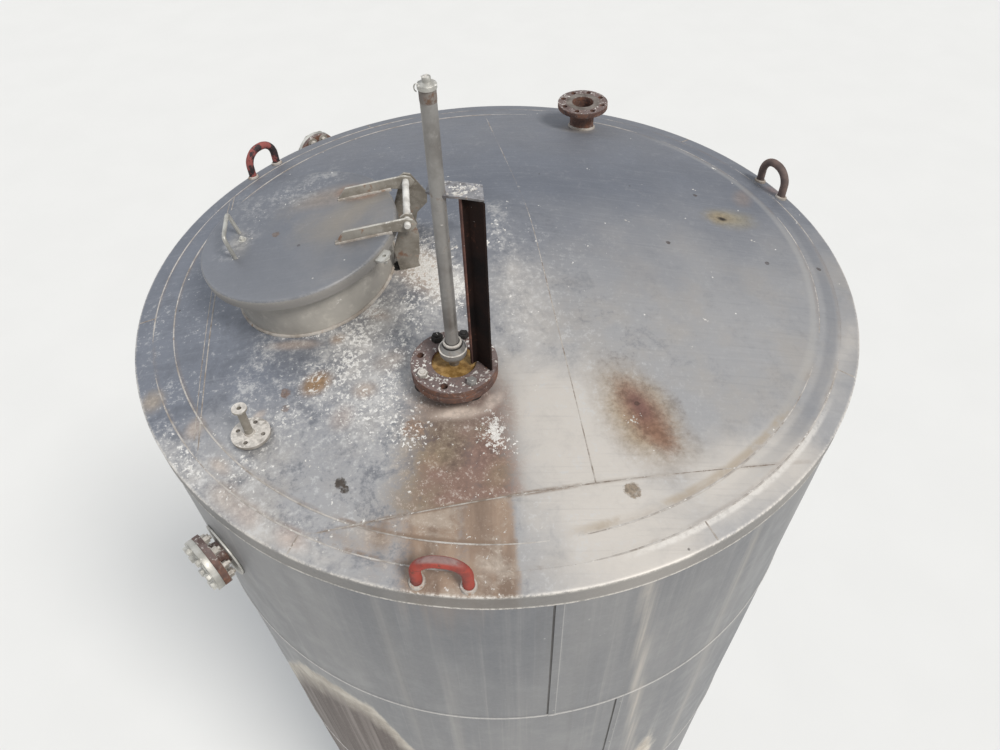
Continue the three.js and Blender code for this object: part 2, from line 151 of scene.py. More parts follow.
class Shade:
    """One node material, written as nested calls. Sockets or plain numbers go in, a socket comes out."""

    def __init__(self, name):
        self.mat = bpy.data.materials.new(name)
        self.mat.use_nodes = True
        self.tree = self.mat.node_tree
        self.tree.nodes.clear()
        out = self.tree.nodes.new("ShaderNodeOutputMaterial")
        self.bsdf = self.tree.nodes.new("ShaderNodeBsdfPrincipled")
        self.tree.links.new(self.bsdf.outputs[0], out.inputs[0])
        self.pos = self.node("TexCoord", {}, "Object")

    def put(self, socket, value):
        if isinstance(value, bpy.types.NodeSocket):
            self.tree.links.new(value, socket)
        elif isinstance(value, tuple) and len(socket.default_value) == 4:
            socket.default_value = (*value, 1)
        else:
            socket.default_value = value

    def node(self, kind, inputs, output=0, **props):
        n = self.tree.nodes.new("ShaderNode" + kind)
        for key, value in props.items():
            setattr(n, key, value)
        for key, value in inputs.items():
            self.put(n.inputs[key], value)
        return n.outputs[output]

    def scaled(self, x, y, z):
        return self.node("VectorMath", {0: self.pos, 1: (x, y, z)}, operation="MULTIPLY")

    def split(self, vector):
        n = self.tree.nodes.new("ShaderNodeSeparateXYZ")
        self.tree.links.new(vector, n.inputs[0])
        return n.outputs

    def up(self):
        return self.split(self.node("NewGeometry", {}, "Normal"))[2]

    def attribute(self, name):
        return self.node("Attribute", {}, "Fac", attribute_name=name)

    def noise(self, scale, detail=4.0, rough=0.55, vector=None, warp=0.0):
        return self.node("TexNoise", {"Vector": vector or self.pos, "Scale": scale, "Detail": detail,
                                      "Roughness": rough, "Distortion": warp})

    def cells(self, scale):
        return self.node("TexVoronoi", {"Vector": self.pos, "Scale": scale}, "Distance")

    def math(self, op, a, b=0.0, c=0.0, clamp=False):
        return self.node("Math", {0: a, 1: b, 2: c}, operation=op, use_clamp=clamp)

    def add(self, *values):
        *rest, out = values
        for value in rest[::-1]:
            out = self.math("ADD", value, out)
        return out

    def mul(self, *values):
        *rest, out = values
        for value in rest[::-1]:
            out = self.math("MULTIPLY", value, out)
        return out

    def most(self, out, *values):
        for value in values:
            out = self.math("MAXIMUM", out, value)
        return out

    def apart(self, a, b):
        return self.math("ABSOLUTE", self.math("SUBTRACT", a, b))

    def centred(self, value, gain=1.0):
        return self.math("MULTIPLY_ADD", value, gain, -0.5 * gain)

    def swing(self, *pairs):
        """The sum of noises, each centred on 0 and with its gain."""
        return self.add(*(self.centred(*pair) for pair in pairs))

    def weigh(self, *pairs):
        return self.add(*(self.mul(*pair) for pair in pairs))

    def step(self, value, low, high, to_low=0.0, to_high=1.0):
        """Smooth change from to_low to to_high while value goes from low to high."""
        values = dict(enumerate((value, low, high, to_low, to_high)))
        return self.node("MapRange", values, interpolation_type="SMOOTHSTEP")

    def mix(self, factor, a, b):
        return self.node("Mix", {0: factor, 6: a, 7: b}, 2, data_type="RGBA")

    def layers(self, base, *rows):
        """Lays colours over base, each (value, low, high, strength, colour) where value nears high."""
        for value, low, high, strength, colour in rows:
            mask = self.step(value, low, high)
            base = self.mix(mask if strength == 1 else self.mul(mask, strength), base, colour)
        return base

    def mottled(self, value, low, high, colour, dark, light=1.0):
        return self.layers(shade_of(colour, dark), (value, low, high, 1, shade_of(colour, light)))

    def spot(self, x, y, reach, ragged):
        """1 inside a ragged patch round (x, y), seen from above, and 0 beyond its reach."""
        flat = self.node("VectorMath", {0: self.scaled(1, 1, 0), 1: (x, y, 0)}, 1, operation="DISTANCE")
        return self.step(self.add(flat, self.mul(ragged, reach)), reach * 1.5, reach * 1.1)

    def halo(self, x, y, wide, high, turn, ragged):
        """Soft oval stain: 1 at (x, y), 0 beyond its half width and half height, turned by degrees."""
        px, py, _ = self.split(self.pos)
        c, sn = polar(1, turn)
        u = self.add(self.mul(px, c / wide),
                     self.math("MULTIPLY_ADD", py, sn / wide, -(x * c + y * sn) / wide))
        v = self.add(self.mul(px, -sn / high),
                     self.math("MULTIPLY_ADD", py, c / high, (x * sn - y * c) / high))
        away = self.math("SQRT", self.add(self.mul(u, u), self.mul(v, v)))
        return self.step(self.add(away, self.mul(ragged, 0.75)), 1.0, 0.15)

    def bump(self, height, strength, distance):
        return self.node("Bump", {"Strength": strength, "Distance": distance, "Height": height})

    def finish(self, colour, rough, metal=0.0, normal=None, **more):
        inputs = {"Base Color": colour, "Roughness": rough, "Metallic": metal, **more}
        if normal:
            inputs["Normal"] = normal
        for key, value in inputs.items():
            self.put(self.bsdf.inputs[key], value)
        return self.mat


def shade_of(colour, gain):
    return tuple(min(1.0, v * gain) for v in colour)


def worn_metal(name, base, dark, rust, amount, rough, metal, white, grain, top=None, sheen=0.5, soft=1.0):
    """Weathered metal: mottled, grimy where the noise is low, rusty where it is high, and speckled.

    With top, faces that look up have that colour and more of the white. sheen is the gloss of the
    bare surface, 0.5 for plain metal or paint, and a low soft makes hard-edged dark patches.
    """
    s = Shade(name)
    broad, fine = s.noise(grain * 0.22, 5, 0.6), s.noise(grain, 6, 0.65)
    blend = s.weigh((broad, 0.55), (fine, 0.45))
    colour = s.layers(dark, (broad, 0.49 - 0.17 * soft, 0.49 + 0.17 * soft, 1, base),
                      (fine, 0.52, 0.74, 0.45, shade_of(base, 1.4)))
    rusty = s.step(blend, 0.68 - 0.34 * amount, 0.76 - 0.3 * amount)
    if top:
        facing = s.mul(s.step(s.up(), 0.55, 0.9), s.step(blend, 0.4, 0.5, 0.35, 1.0))
        colour = s.mix(facing, colour, s.mottled(fine, 0.4, 0.65, top, 0.75))
        rusty = s.mul(rusty, s.step(facing, 0.0, 1.0, 1.0, 0.25))
    colour = s.mix(rusty, colour, s.mottled(fine, 0.35, 0.65, rust, 0.45))
    if white:
        gate = s.mul(s.centred(s.noise(grain * 0.3, 2, 0.5)), 0.5)
        raw = s.add(s.noise(grain * 1.3, 4, 0.55), gate)
        spots = s.step(raw, 0.80 - 0.2 * white, 0.83 - 0.2 * white)
        if top:
            spots = s.mul(spots, s.step(facing, 0.0, 1.0, 0.15, 1.0))
        chalk = s.layers((0.44, 0.41, 0.38),
                         (s.noise(grain * 2.2, 3, 0.6), 0.36, 0.60, 1, (0.76, 0.74, 0.70)))
        colour = s.mix(s.mul(spots, 0.9), colour, chalk)
    roughness = s.step(blend, 0.35, 0.7, rough, min(0.95, rough + 0.28))
    shine = s.mul(s.math("SUBTRACT", 1.0, rusty), metal)
    height = s.weigh((fine, 0.6), (s.noise(grain * 4, 3, 0.6), 0.4))
    s.bsdf.inputs["Specular IOR Level"].default_value = sheen
    return s.finish(colour, roughness, shine, s.bump(height, 0.35, 0.0015))


def cladding_steel():
    """Dull aluminium sheet with soft vertical run-off, fine mottling and a pale crust low in front.

    The joints' beads and the laps' edges carry a painted highlight, the laps' grooves a painted shadow.
    """
    s = Shade("cladding_sheet")
    streak = s.noise(1.0, 5, 0.6, s.scaled(24, 24, 0.5))
    thin = s.noise(1.0, 3, 0.6, s.scaled(95, 95, 1.2))
    wide = s.noise(1.0, 4, 0.5, s.scaled(3.6, 3.6, 0.7))
    mottle, fine = s.noise(12, 6, 0.6), s.noise(90, 5, 0.7)
    speck = s.add(fine, s.mul(s.centred(mottle), 0.3))
    base = s.layers(
        (0.182, 0.187, 0.200), (wide, 0.3, 0.7, 1, (0.268, 0.266, 0.268)),
        (streak, 0.5, 0.8, 0.28, (0.46, 0.44, 0.42)), (streak, 0.47, 0.25, 0.30, (0.19, 0.185, 0.18)),
        (thin, 0.56, 0.76, 0.14, (0.50, 0.48, 0.45)), (mottle, 0.5, 0.75, 0.16, (0.43, 0.43, 0.44)),
        (fine, 0.35, 0.65, 0.06, (0.5, 0.5, 0.5)), (speck, 0.71, 0.735, 0.5, (0.62, 0.61, 0.58)))
    pale = s.step(s.add(thin, s.centred(mottle, 0.5)), 0.25, 0.62, 0.2, 0.75)
    base = s.mix(s.mul(s.attribute("streak"), pale), base, (0.58, 0.53, 0.47))
    ragged = s.swing((s.noise(1.0, 5, 0.6, s.scaled(5, 5, 3)), 0.30), (fine, 0.03))
    crust_edge = s.add(s.attribute("crust"), ragged)
    crust = s.step(s.add(crust_edge, s.centred(thin, 0.06)), 0.470, 0.545)
    inside = s.layers((0.175, 0.145, 0.130), (streak, 0.45, 0.65, 0.7, (0.33, 0.29, 0.265)),
                      (thin, 0.50, 0.34, 0.5, (0.10, 0.078, 0.066)),
                      (fine, 0.54, 0.68, 0.35, (0.42, 0.39, 0.35)))
    cream = s.layers((0.47, 0.42, 0.355), (mottle, 0.35, 0.65, 1, (0.66, 0.61, 0.53)),
                     (fine, 0.5, 0.66, 0.4, (0.74, 0.71, 0.65)))
    inside = s.layers(cream, (s.add(crust_edge, s.centred(streak, 0.34)), 0.57, 0.84, 1, inside))
    base = s.mix(s.mul(crust, 0.92), base, inside)
    rust = s.step(s.add(s.attribute("rust"), s.centred(streak)), 0.35, 0.85)
    base = s.mix(s.mul(rust, 0.5), base, (0.27, 0.20, 0.15))
    # painted highlight on the joints' beads and the laps' edges, then painted shadow in the laps' grooves
    base = s.mix(s.mul(s.attribute("edge"), s.step(fine, 0.3, 0.55, 0.55, 0.95)), base, (0.66, 0.64, 0.61))
    base = s.mix(s.mul(s.attribute("gap"), 0.9), base, (0.06, 0.055, 0.05))
    height = s.weigh((s.noise(2.6, 3, 0.5), 1.0), (mottle, 0.04), (crust, 0.1))
    rough = s.most(s.step(mottle, 0.3, 0.7, 0.42, 0.56), s.mul(crust, 0.85), s.mul(rust, 0.7))
    metal = s.math("SUBTRACT", 0.4, s.mul(s.most(crust, rust), 0.4), clamp=True)
    return s.finish(base, rough, metal, s.bump(height, 0.2, 0.016))


def weld_dirt_and_painted_light(s, base, x, y, cold, mid, fleck):
    """Dirt beside the welds, and painted light: at the right two bands, a painted shade and a painted
    highlight, and at the front right a painted highlight along the rim band.
    """
    out = s.node("VectorMath", {0: s.scaled(1, 1, 0)}, 1, operation="LENGTH")
    across = s.weigh((y, math.cos(SEAM_TURN)), (x, -math.sin(SEAM_TURN)))
    dirt = s.most(0.0, *(s.step(s.apart(out, r), 0.010, 0.002) for r in (RING_A - 0.004, BAND_R - 0.003)),
                  s.step(s.apart(across, SEAM_FRONT), 0.009, 0.002))
    dirt = s.mul(dirt, s.step(s.add(s.noise(4.0, 4, 0.6), s.centred(fleck, 0.5)), 0.40, 0.60))
    middle = s.mul(s.step(s.math("ABSOLUTE", s.add(x, 0.13)), 0.45, 0.20), s.step(y, -0.5, -0.8))
    dirt = s.mul(dirt, s.step(middle, 0.0, 1.0, 0.22, 0.85))
    # two bands at the right where the plates step: a painted shade, then a painted highlight
    for radius, far, near, strength, colour in (
            ((RING_A + BAND_R) / 2 + 0.006, 0.026, 0.008, 0.35, shade_of(cold, 0.85)),
            (RING_A - 0.016, 0.02, 0.004, 0.30, (0.47, 0.455, 0.43))):
        painted_ridge_band = s.mul(s.step(s.apart(out, radius), far, near), s.step(x, 0.5, 0.85))
        base = s.mix(s.mul(painted_ridge_band, strength), base, colour)
    base = s.mix(dirt, base, (0.20, 0.14, 0.10))
    # painted highlight along the rim band at the front right
    lit = s.mul(s.step(s.apart(out, BAND_R + 0.008), 0.013, 0.003),
                s.step(x, 0.24, 0.40), s.step(y, -0.55, -0.75))
    base = s.mix(s.mul(lit, s.step(fleck, 0.36, 0.56, 0.25, 0.70)), base, (0.74, 0.71, 0.67))
    stale = s.mul(s.step(s.apart(out, RING_A - 0.012), 0.018, 0.002),
                  s.step(x, 0.12, 0.25), s.step(y, -0.45, -0.7))
    return s.mix(s.mul(stale, s.step(mid, 0.40, 0.60, 0.1, 0.65)), base, (0.36, 0.29, 0.21))


def coated_plate(name, cold, neutral, warm, spots, halos, worn=1.0, welded=True,
                 painted_upright_tones=((0.165, 0.160, 0.152), (0.30, 0.28, 0.26))):
    """Cloudy grey plate, with a painted side shade that makes it darker at the back and on the left.

    The attributes cold, rust, ochre, pale, white, busy and edge say where each of them gathers, and
    the shader's own noise breaks them up. cold deepens the painted side shade, pale is pale crust in
    places and painted sunlight on the front right, and edge is a painted highlight along rounded edges,
    partly crust. Faces that don't look up take the upright tones: painted shade on the rim's skirt and
    painted light on the lid's turned-down edge. spots are (x, y, reach, colour, strength) of single
    marks and halos (x, y, half width, half height, turn, colour, strength) of soft oval stains, with
    the first four in millimetres.
    """
    s = Shade(name)
    x, y, _ = s.split(s.pos)
    broad, mid = s.noise(2.1, 5, 0.6), s.noise(10, 7, 0.66, warp=0.5)
    fleck, fine, grain = s.noise(52, 6, 0.74), s.noise(130, 5, 0.72), s.noise(260, 3, 0.6)
    brushed = s.noise(1.0, 4, 0.6, s.scaled(5, 130, 5))
    busy, pale, whitish = s.attribute("busy"), s.attribute("pale"), s.attribute("white")
    cloud = s.swing((mid, 0.75), (fleck, 1.3), (fine, 0.85))
    gloom = s.swing((mid, 1.25), (fleck, 0.75), (fine, 0.35))
    grit = s.swing((mid, 0.8), (fleck, 0.55), (fine, 0.35))
    # painted side shade: darker and bluer at the back and on the left, warmer towards the front right; the
    # cold strokes deepen it
    side = s.add(s.weigh((x, 0.25), (y, -0.80)), s.centred(broad, 0.7))
    side = s.math("SUBTRACT", side, s.attribute("cold"))
    tint = s.layers(shade_of(cold, 1.25), (side, -0.1, 0.5, 1, (0.40, 0.36, 0.315)))
    base = s.layers(
        cold, (side, -0.25, 0.55, 1, neutral), (y, 0.25, 0.85, 0.24, (0.35, 0.34, 0.34)),
        (s.noise(5.5, 5, 0.6), 0.42, 0.68, 0.35, tint),
        # pale turns the plate warm: pale crust, and painted sunlight on the front right
        (s.add(pale, s.centred(mid, 0.7)), 0.15, 0.95, 1, warm))
    light = s.mul(s.step(cloud, 0.08, 0.26), s.step(busy, 0.0, 1.0, 0.10, 0.58))
    base = s.mix(s.mul(light, worn), base, (0.55, 0.55, 0.55))
    dark = s.mul(s.step(gloom, -0.02, -0.26), s.step(busy, 0.0, 1.0, 0.14, 0.68))
    dark = s.mul(dark, s.step(pale, 0.1, 0.7, 1.0, 0.12))
    base = s.mix(s.mul(dark, worn), base, shade_of(cold, 0.70))
    base = s.layers(base, (brushed, 0.52, 0.75, 0.10 * worn, (0.5, 0.51, 0.53)),
                    (brushed, 0.46, 0.28, 0.10 * worn, shade_of(cold, 0.7)))
    wash = s.mul(whitish, s.step(s.weigh((mid, 0.35), (fleck, 0.45), (fine, 0.20)), 0.47, 0.57))
    base = s.mix(s.mul(wash, 0.85), base, (0.60, 0.585, 0.565))
    salt = s.mul(s.step(s.add(fine, s.centred(fleck, 0.6)), 0.57, 0.66), s.step(mid, 0.40, 0.62, 0.25, 0.85))
    olive = s.add(s.mul(x, 0.8), s.centred(s.noise(5.0, 5, 0.6), 0.55))
    deep = s.layers(
        (0.205, 0.120, 0.088), (olive, -0.05, -0.16, 1, (0.215, 0.160, 0.105)),
        (s.add(y, s.mul(grit, 0.12)), -0.76, -0.66, 0.6, (0.225, 0.170, 0.152)),
        (grit, 0.06, -0.20, 1, (0.105, 0.063, 0.047)), (cloud, 0.06, 0.30, 0.50, (0.42, 0.345, 0.30)))
    deep = s.mix(s.mul(salt, 0.8), deep, (0.46, 0.395, 0.35))
    rust = s.step(s.add(s.attribute("rust"), grit), 0.15, 0.80)
    base = s.mix(s.mul(rust, 0.92), base, deep)
    sand = s.layers(
        (0.180, 0.118, 0.079),
        (s.noise(1.0, 4, 0.6, s.scaled(16, 3, 3)), 0.35, 0.68, 1, (0.318, 0.222, 0.154)),
        (mid, 0.48, 0.62, 0.50, (0.40, 0.345, 0.285)), (grit, 0.02, 0.26, 0.45, (0.47, 0.39, 0.32)),
        (grit, -0.08, -0.3, 0.45, (0.16, 0.105, 0.075)))
    sand = s.mix(s.mul(salt, 0.6), sand, (0.50, 0.43, 0.36))
    ochre = s.step(s.add(s.attribute("ochre"), s.mul(grit, 0.7)), 0.22, 0.62)
    base = s.mix(s.mul(ochre, 0.90), base, sand)
    for *oval, turn, colour, strength in halos:
        soft = s.mul(s.halo(*(v / 1000 for v in oval), turn, grit), strength)
        base = s.mix(soft, base, s.mottled(fleck, 0.36, 0.62, colour, 0.8, 1.2))
    if welded:
        base = weld_dirt_and_painted_light(s, base, x, y, cold, mid, fleck)
    ragged = s.swing((s.noise(36, 5, 0.7), 1.5), (s.noise(95, 4, 0.7), 1.8))
    for *mark, colour, strength in spots:
        patchy = s.mul(s.spot(*mark, ragged), s.step(fleck, 0.36, 0.56, 0.45 * strength, strength))
        base = s.mix(patchy, base, s.mottled(fine, 0.38, 0.62, colour, 0.7, 1.25))
    dots, pits = (
        s.mul(s.step(s.cells(scale), size, size - 0.010), s.step(s.noise(where, 2, 0.5), 0.50, 0.54))
        for scale, size, where in ((13, 0.040, 6.0), (9, 0.036, 5.0)))
    drops = s.weigh((whitish, 0.20), (s.noise(75, 5, 0.68), 0.66), (fine, 0.34))
    white = s.most(s.step(drops, 0.67, 0.71), dots)
    chalk = s.layers((0.60, 0.58, 0.54), (grain, 0.4, 0.6, 1, (0.78, 0.77, 0.75)))
    base = s.mix(s.mul(white, 0.85), base, chalk)
    base = s.mix(s.mul(pits, 0.9 * worn), base, (0.035, 0.026, 0.02))
    # faces that don't look up get painted tones: painted shade on the rim's skirt, painted light on the lid's
    # turned-down edge
    base = s.layers(base, (s.up(), 0.55, 0.2, 0.85, s.mix(pale, *painted_upright_tones)))
    # painted highlight on rounded edges, partly crust, broken up by noise
    edge = s.step(s.weigh((fine, 0.6), (mid, 0.4)), 0.42, 0.56, 0.12, 0.95)
    base = s.mix(s.mul(s.attribute("edge"), edge), base, (0.70, 0.665, 0.615))
    covered = s.most(rust, ochre, white)
    rough = s.most(s.step(fine, 0.3, 0.7, 0.45, 0.60), s.mul(covered, 0.82))
    metal = s.math("SUBTRACT", 0.25, s.mul(covered, 0.25), clamp=True)
    height = s.weigh((mid, 0.35), (grain, 0.10), (white, 0.12), (fleck, 0.10))
    return s.finish(base, rough, metal, s.bump(height, 0.25, 0.006))


def wet_silt():
    """Rusty water standing on silt."""
    s = Shade("standing_water")
    tone = s.layers((0.17, 0.095, 0.03), (s.noise(45, 5, 0.6), 0.35, 0.65, 1, (0.36, 0.225, 0.085)))
    return s.finish(tone, 0.12, 0.0, s.bump(s.noise(120, 2, 0.5), 0.05, 0.001), IOR=1.33)


ROOF_SPOTS = [
    (-0.589, -0.560, 0.012, (0.16, 0.10, 0.075), 0.85), (-0.583, -0.610, 0.009, (0.17, 0.11, 0.08), 0.8),
    (-0.409, -0.847, 0.012, (0.05, 0.036, 0.026), 0.95), (-0.396, -0.864, 0.008, (0.05, 0.036, 0.026), 0.95),
    (0.321, -0.898, 0.015, (0.22, 0.17, 0.12), 0.9), (-0.225, -0.712, 0.022, (0.24, 0.15, 0.10), 0.75),
    (0.365, -0.655, 0.006, (0.08, 0.045, 0.035), 0.9), (0.557, -0.023, 0.0055, (0.07, 0.05, 0.04), 0.8),
    (0.880, -0.060, 0.0062, (0.06, 0.045, 0.04), 0.85), (0.718, 0.301, 0.006, (0.07, 0.05, 0.04), 0.8),
    (1.061, -0.053, 0.0055, (0.06, 0.045, 0.04), 0.8),
]
# The halos' places and sizes are in millimetres.
ROOF_HALOS = [
    (810, 170, 130, 85, 10, (0.31, 0.265, 0.17), 0.6), (775, 168, 75, 50, 10, (0.34, 0.25, 0.13), 0.45),
    (783, 163, 24, 17, -25, (0.03, 0.022, 0.016), 1.0),
    (372, -690, 230, 135, -62, (0.33, 0.245, 0.155), 0.9),
    (378, -680, 150, 72, -60, (0.2, 0.105, 0.078), 0.95),
    (412, -745, 95, 50, -62, (0.21, 0.115, 0.075), 0.8),
    (372, -660, 75, 36, -60, (0.15, 0.078, 0.068), 0.75), (-992, -517, 60, 60, 40, (0.36, 0.29, 0.21), 0.6),
    (-836, -632, 40, 50, 0, (0.42, 0.33, 0.26), 0.55), (-700, -860, 90, 50, -40, (0.45, 0.37, 0.31), 0.5),
    (-520, -980, 70, 40, -30, (0.45, 0.34, 0.28), 0.5), (-300, -500, 70, 50, 20, (0.4, 0.33, 0.27), 0.4),
    (-420, -660, 60, 50, 60, (0.4, 0.3, 0.24), 0.35), (900, 330, 100, 50, 70, (0.3, 0.22, 0.17), 0.4),
    (1045, 420, 50, 50, 0, (0.25, 0.15, 0.12), 0.45), (360, 830, 100, 60, 0, (0.36, 0.3, 0.24), 0.45),
    (-503, -542, 62, 50, 20, (0.31, 0.19, 0.095), 0.9), (-362, -584, 50, 40, 0, (0.4, 0.29, 0.21), 0.5),
    # the halos at (-104, -676) and (-20, -650): a pale strip in front of the standpipe's flange, partly crust
    # and partly painted sunlight
    (-455, -400, 35, 30, 0, (0.36, 0.26, 0.19), 0.7), (-104, -676, 105, 26, 2, (0.56, 0.47, 0.405), 0.9),
    (-20, -650, 55, 26, 42, (0.54, 0.455, 0.4), 0.75), (-641, -908, 70, 50, -35, (0.46, 0.36, 0.3), 0.45),
    (-215, -190, 150, 85, -52, (0.43, 0.31, 0.24), 0.45),
    (-205, -175, 120, 70, -52, (0.6, 0.53, 0.46), 0.85),
    (-345, -330, 75, 30, -30, (0.47, 0.38, 0.32), 0.55), (-590, -395, 120, 26, -8, (0.5, 0.4, 0.33), 0.55),
    (-655, -620, 30, 20, 30, (0.5, 0.42, 0.36), 0.6), (-740, -760, 60, 30, -40, (0.5, 0.41, 0.34), 0.5),
    (-170, -800, 70, 45, 20, (0.28, 0.225, 0.14), 0.35), (-10, -850, 65, 45, 60, (0.26, 0.21, 0.13), 0.35),
    (-60, -800, 70, 45, 80, (0.21, 0.125, 0.105), 0.5), (-35, -1075, 55, 35, 0, (0.46, 0.4, 0.34), 0.5),
]
LID_SPOTS = [(-0.640, -0.120, 0.009, (0.17, 0.12, 0.09), 0.85),
             (-0.560, -0.190, 0.004, (0.04, 0.03, 0.03), 0.9)]
LID_HALOS = [
    (-440, 38, 55, 40, 12, (0.25, 0.15, 0.11), 0.9), (-385, 5, 70, 35, -5, (0.3, 0.2, 0.155), 0.7),
    (-370, 35, 75, 32, 5, (0.26, 0.15, 0.11), 0.5), (-360, -165, 70, 22, 5, (0.27, 0.19, 0.15), 0.6),
    (-500, 20, 140, 70, 8, (0.3, 0.24, 0.19), 0.45), (-750, -140, 50, 90, 10, (0.3, 0.28, 0.25), 0.4),
]
METALS = {  # slot, then what worn_metal takes
    "shell": ("shell", "shell_plate", (0.2, 0.2, 0.2), (0.1, 0.1, 0.1), (0.2, 0.11, 0.06), 0.35, 0.7, 0.3,
        0.0, 60.0),
    "weld": ("roof_steel", "weld_metal", (0.52, 0.49, 0.45), (0.3, 0.255, 0.215), (0.34, 0.22, 0.15), 0.35,
        0.65, 0.15, 0.5, 90),
    "seam": ("roof_steel", "seam_bead", (0.46, 0.43, 0.395), (0.2, 0.16, 0.13), (0.22, 0.14, 0.095), 0.3,
        0.7, 0.15, 0.8, 120),
    "circle": ("roof_steel", "circle_bead", (0.54, 0.515, 0.485), (0.27, 0.235, 0.205), (0.25, 0.17, 0.12),
        0.28, 0.7, 0.15, 0.7, 90),
    "neck": ("weathered_steel", "neck_plate", (0.5, 0.475, 0.43), (0.38, 0.36, 0.33), (0.26, 0.18, 0.12),
        0.12, 0.6, 0.3, 0.35, 30),
    "strap": ("weathered_steel", "strap_plate", (0.42, 0.395, 0.35), (0.24, 0.215, 0.18),
        (0.26, 0.14, 0.085), 0.42, 0.65, 0.2, 0.75, 55, (0.6, 0.58, 0.53)),
    "hinge_plate": ("weathered_steel", "hinge_plate", (0.35, 0.325, 0.285), (0.165, 0.145, 0.118),
        (0.22, 0.12, 0.075), 0.48, 0.7, 0.2, 0.85, 50, (0.56, 0.53, 0.48)),
    "stem": ("weathered_steel", "stem_pipe", (0.34, 0.33, 0.315), (0.2, 0.188, 0.176), (0.18, 0.13, 0.1),
        0.3, 0.36, 0.65, 0.3, 38),
    "grime": ("weathered_steel", "stem_grime", (0.23, 0.205, 0.185), (0.1, 0.082, 0.07),
        (0.15, 0.09, 0.06), 0.35, 0.75, 0.1, 0.2, 80),
    "bright": ("bright_steel", "bright_steel", (0.6, 0.59, 0.55), (0.36, 0.35, 0.32), (0.3, 0.2, 0.12),
        0.15, 0.4, 0.5, 0.4, 70),
    "bracket": ("weathered_steel", "bracket_plate", (0.22, 0.215, 0.22), (0.09, 0.08, 0.08),
        (0.17, 0.105, 0.08), 0.4, 0.6, 0.2, 0.95, 80, (0.34, 0.34, 0.36)),
    "rusty": ("rusty_steel", "rusty_steel", (0.19, 0.11, 0.085), (0.085, 0.048, 0.04), (0.21, 0.1, 0.065),
        0.6, 0.75, 0.1, 0.95, 100, (0.195, 0.152, 0.146)),
    # nearly black: a painted shade on the angle bar's face
    "angle": ("rusty_steel", "angle_steel", (0.02, 0.011, 0.009), (0.007, 0.005, 0.005),
        (0.07, 0.03, 0.02), 0.25, 0.75, 0.1, 0.1, 60, None, 0.15),
    "lip": ("rusty_steel", "angle_lip", (0.16, 0.075, 0.06), (0.07, 0.035, 0.03), (0.22, 0.1, 0.07), 0.5,
        0.75, 0.1, 0.2, 80),
    "pale": ("bright_steel", "pale_flange", (0.4, 0.375, 0.34), (0.22, 0.195, 0.17), (0.3, 0.2, 0.14),
        0.25, 0.6, 0.2, 0.7, 90, (0.7, 0.66, 0.61)),
    "lug_red": ("lug_steel", "lug_red", (0.4, 0.062, 0.042), (0.17, 0.04, 0.032), (0.15, 0.065, 0.045),
        0.36, 0.6, 0.0, 0.3, 60, (0.31, 0.2, 0.185)),
    "lug_dark": ("lug_steel", "lug_dark", (0.3, 0.085, 0.075), (0.03, 0.022, 0.024), (0.07, 0.035, 0.03),
        0.35, 0.7, 0.0, 0.15, 105, None, 0.5, 0.25),
    "lug_brown": ("lug_steel", "lug_brown", (0.2, 0.14, 0.12), (0.1, 0.075, 0.07), (0.22, 0.11, 0.075),
        0.4, 0.7, 0.1, 0.2, 60),
    "nut": ("rusty_steel", "dark_nut", (0.045, 0.042, 0.04), (0.02, 0.019, 0.018), (0.12, 0.06, 0.035),
        0.25, 0.6, 0.4, 0.05, 90),
    "deposit": ("weathered_steel", "deposit", (0.74, 0.725, 0.69), (0.46, 0.44, 0.41), (0.42, 0.35, 0.26),
        0.15, 0.9, 0.0, 0.0, 110),
}
MATS = {
    "cladding": cladding_steel(),
    "roof": coated_plate("roof_plate", (0.158, 0.171, 0.203), (0.345, 0.343, 0.35), (0.56, 0.525, 0.485),
                         ROOF_SPOTS, ROOF_HALOS),
    # the lid's last pair of tones is painted light for its turned-down edge
    "lid": coated_plate("lid_plate", (0.165, 0.175, 0.20), (0.215, 0.22, 0.235), (0.27, 0.245, 0.215),
                        LID_SPOTS, LID_HALOS, 0.45, False, ((0.29, 0.275, 0.255), (0.34, 0.32, 0.29))),
    **{key: worn_metal(*row) for key, (_, *row) in METALS.items()},
    "water": wet_silt(),
}


def skin(rows, cols, closed=False):
    """Faces between rows of points, each row a loop. closed joins the last row to the first."""
    def face(i, j, k, m):
        return [i * cols + k, i * cols + m, j * cols + m, j * cols + k]
    return [face(i, (i + 1) % rows, k, (k + 1) % cols)
            for i in range(rows if closed else rows - 1) for k in range(cols)]


def revolve(profile, sides=96):
    """(radius, height) pairs turned about Z, closed to a ring where neither end is on the axis."""
    verts, rings = [], []
    for r, z in profile:
        count = 1 if r < 1e-7 else sides
        rings.append(range(len(verts), len(verts) + count))
        verts += [(r * math.cos(TAU * i / sides), r * math.sin(TAU * i / sides), z) for i in range(count)]
    pairs = list(zip(rings, rings[1:]))
    if len(rings[0]) > 1 and len(rings[-1]) > 1:
        pairs.append((rings[-1], rings[0]))
    faces = []
    for a, b in pairs:
        for i in range(sides):
            j = (i + 1) % sides
            loop = [a[i % len(a)], a[j % len(a)], b[j % len(b)], b[i % len(b)]]
            faces.append(list(dict.fromkeys(loop)))
    return verts, faces


def curve(start, corner, end, steps):
    return [(1 - t) ** 2 * start + 2 * t * (1 - t) * corner + t * t * end
            for t in (k / steps for k in range(steps + 1))]


def rounded(profile, radius, steps=3):
    """The closed profile with each corner off the axis rounded."""
    out, n = [], len(profile)
    for i in range(n):
        p = Vector(profile[i])
        if p.x < 1e-7:
            out.append(tuple(p))
            continue
        a, b = Vector(profile[i - 1]) - p, Vector(profile[(i + 1) % n]) - p
        cut_off = min(radius, a.length * 0.45, b.length * 0.45)
        out += map(tuple, curve(p + a.normalized() * cut_off, p, p + b.normalized() * cut_off, steps))
    return out


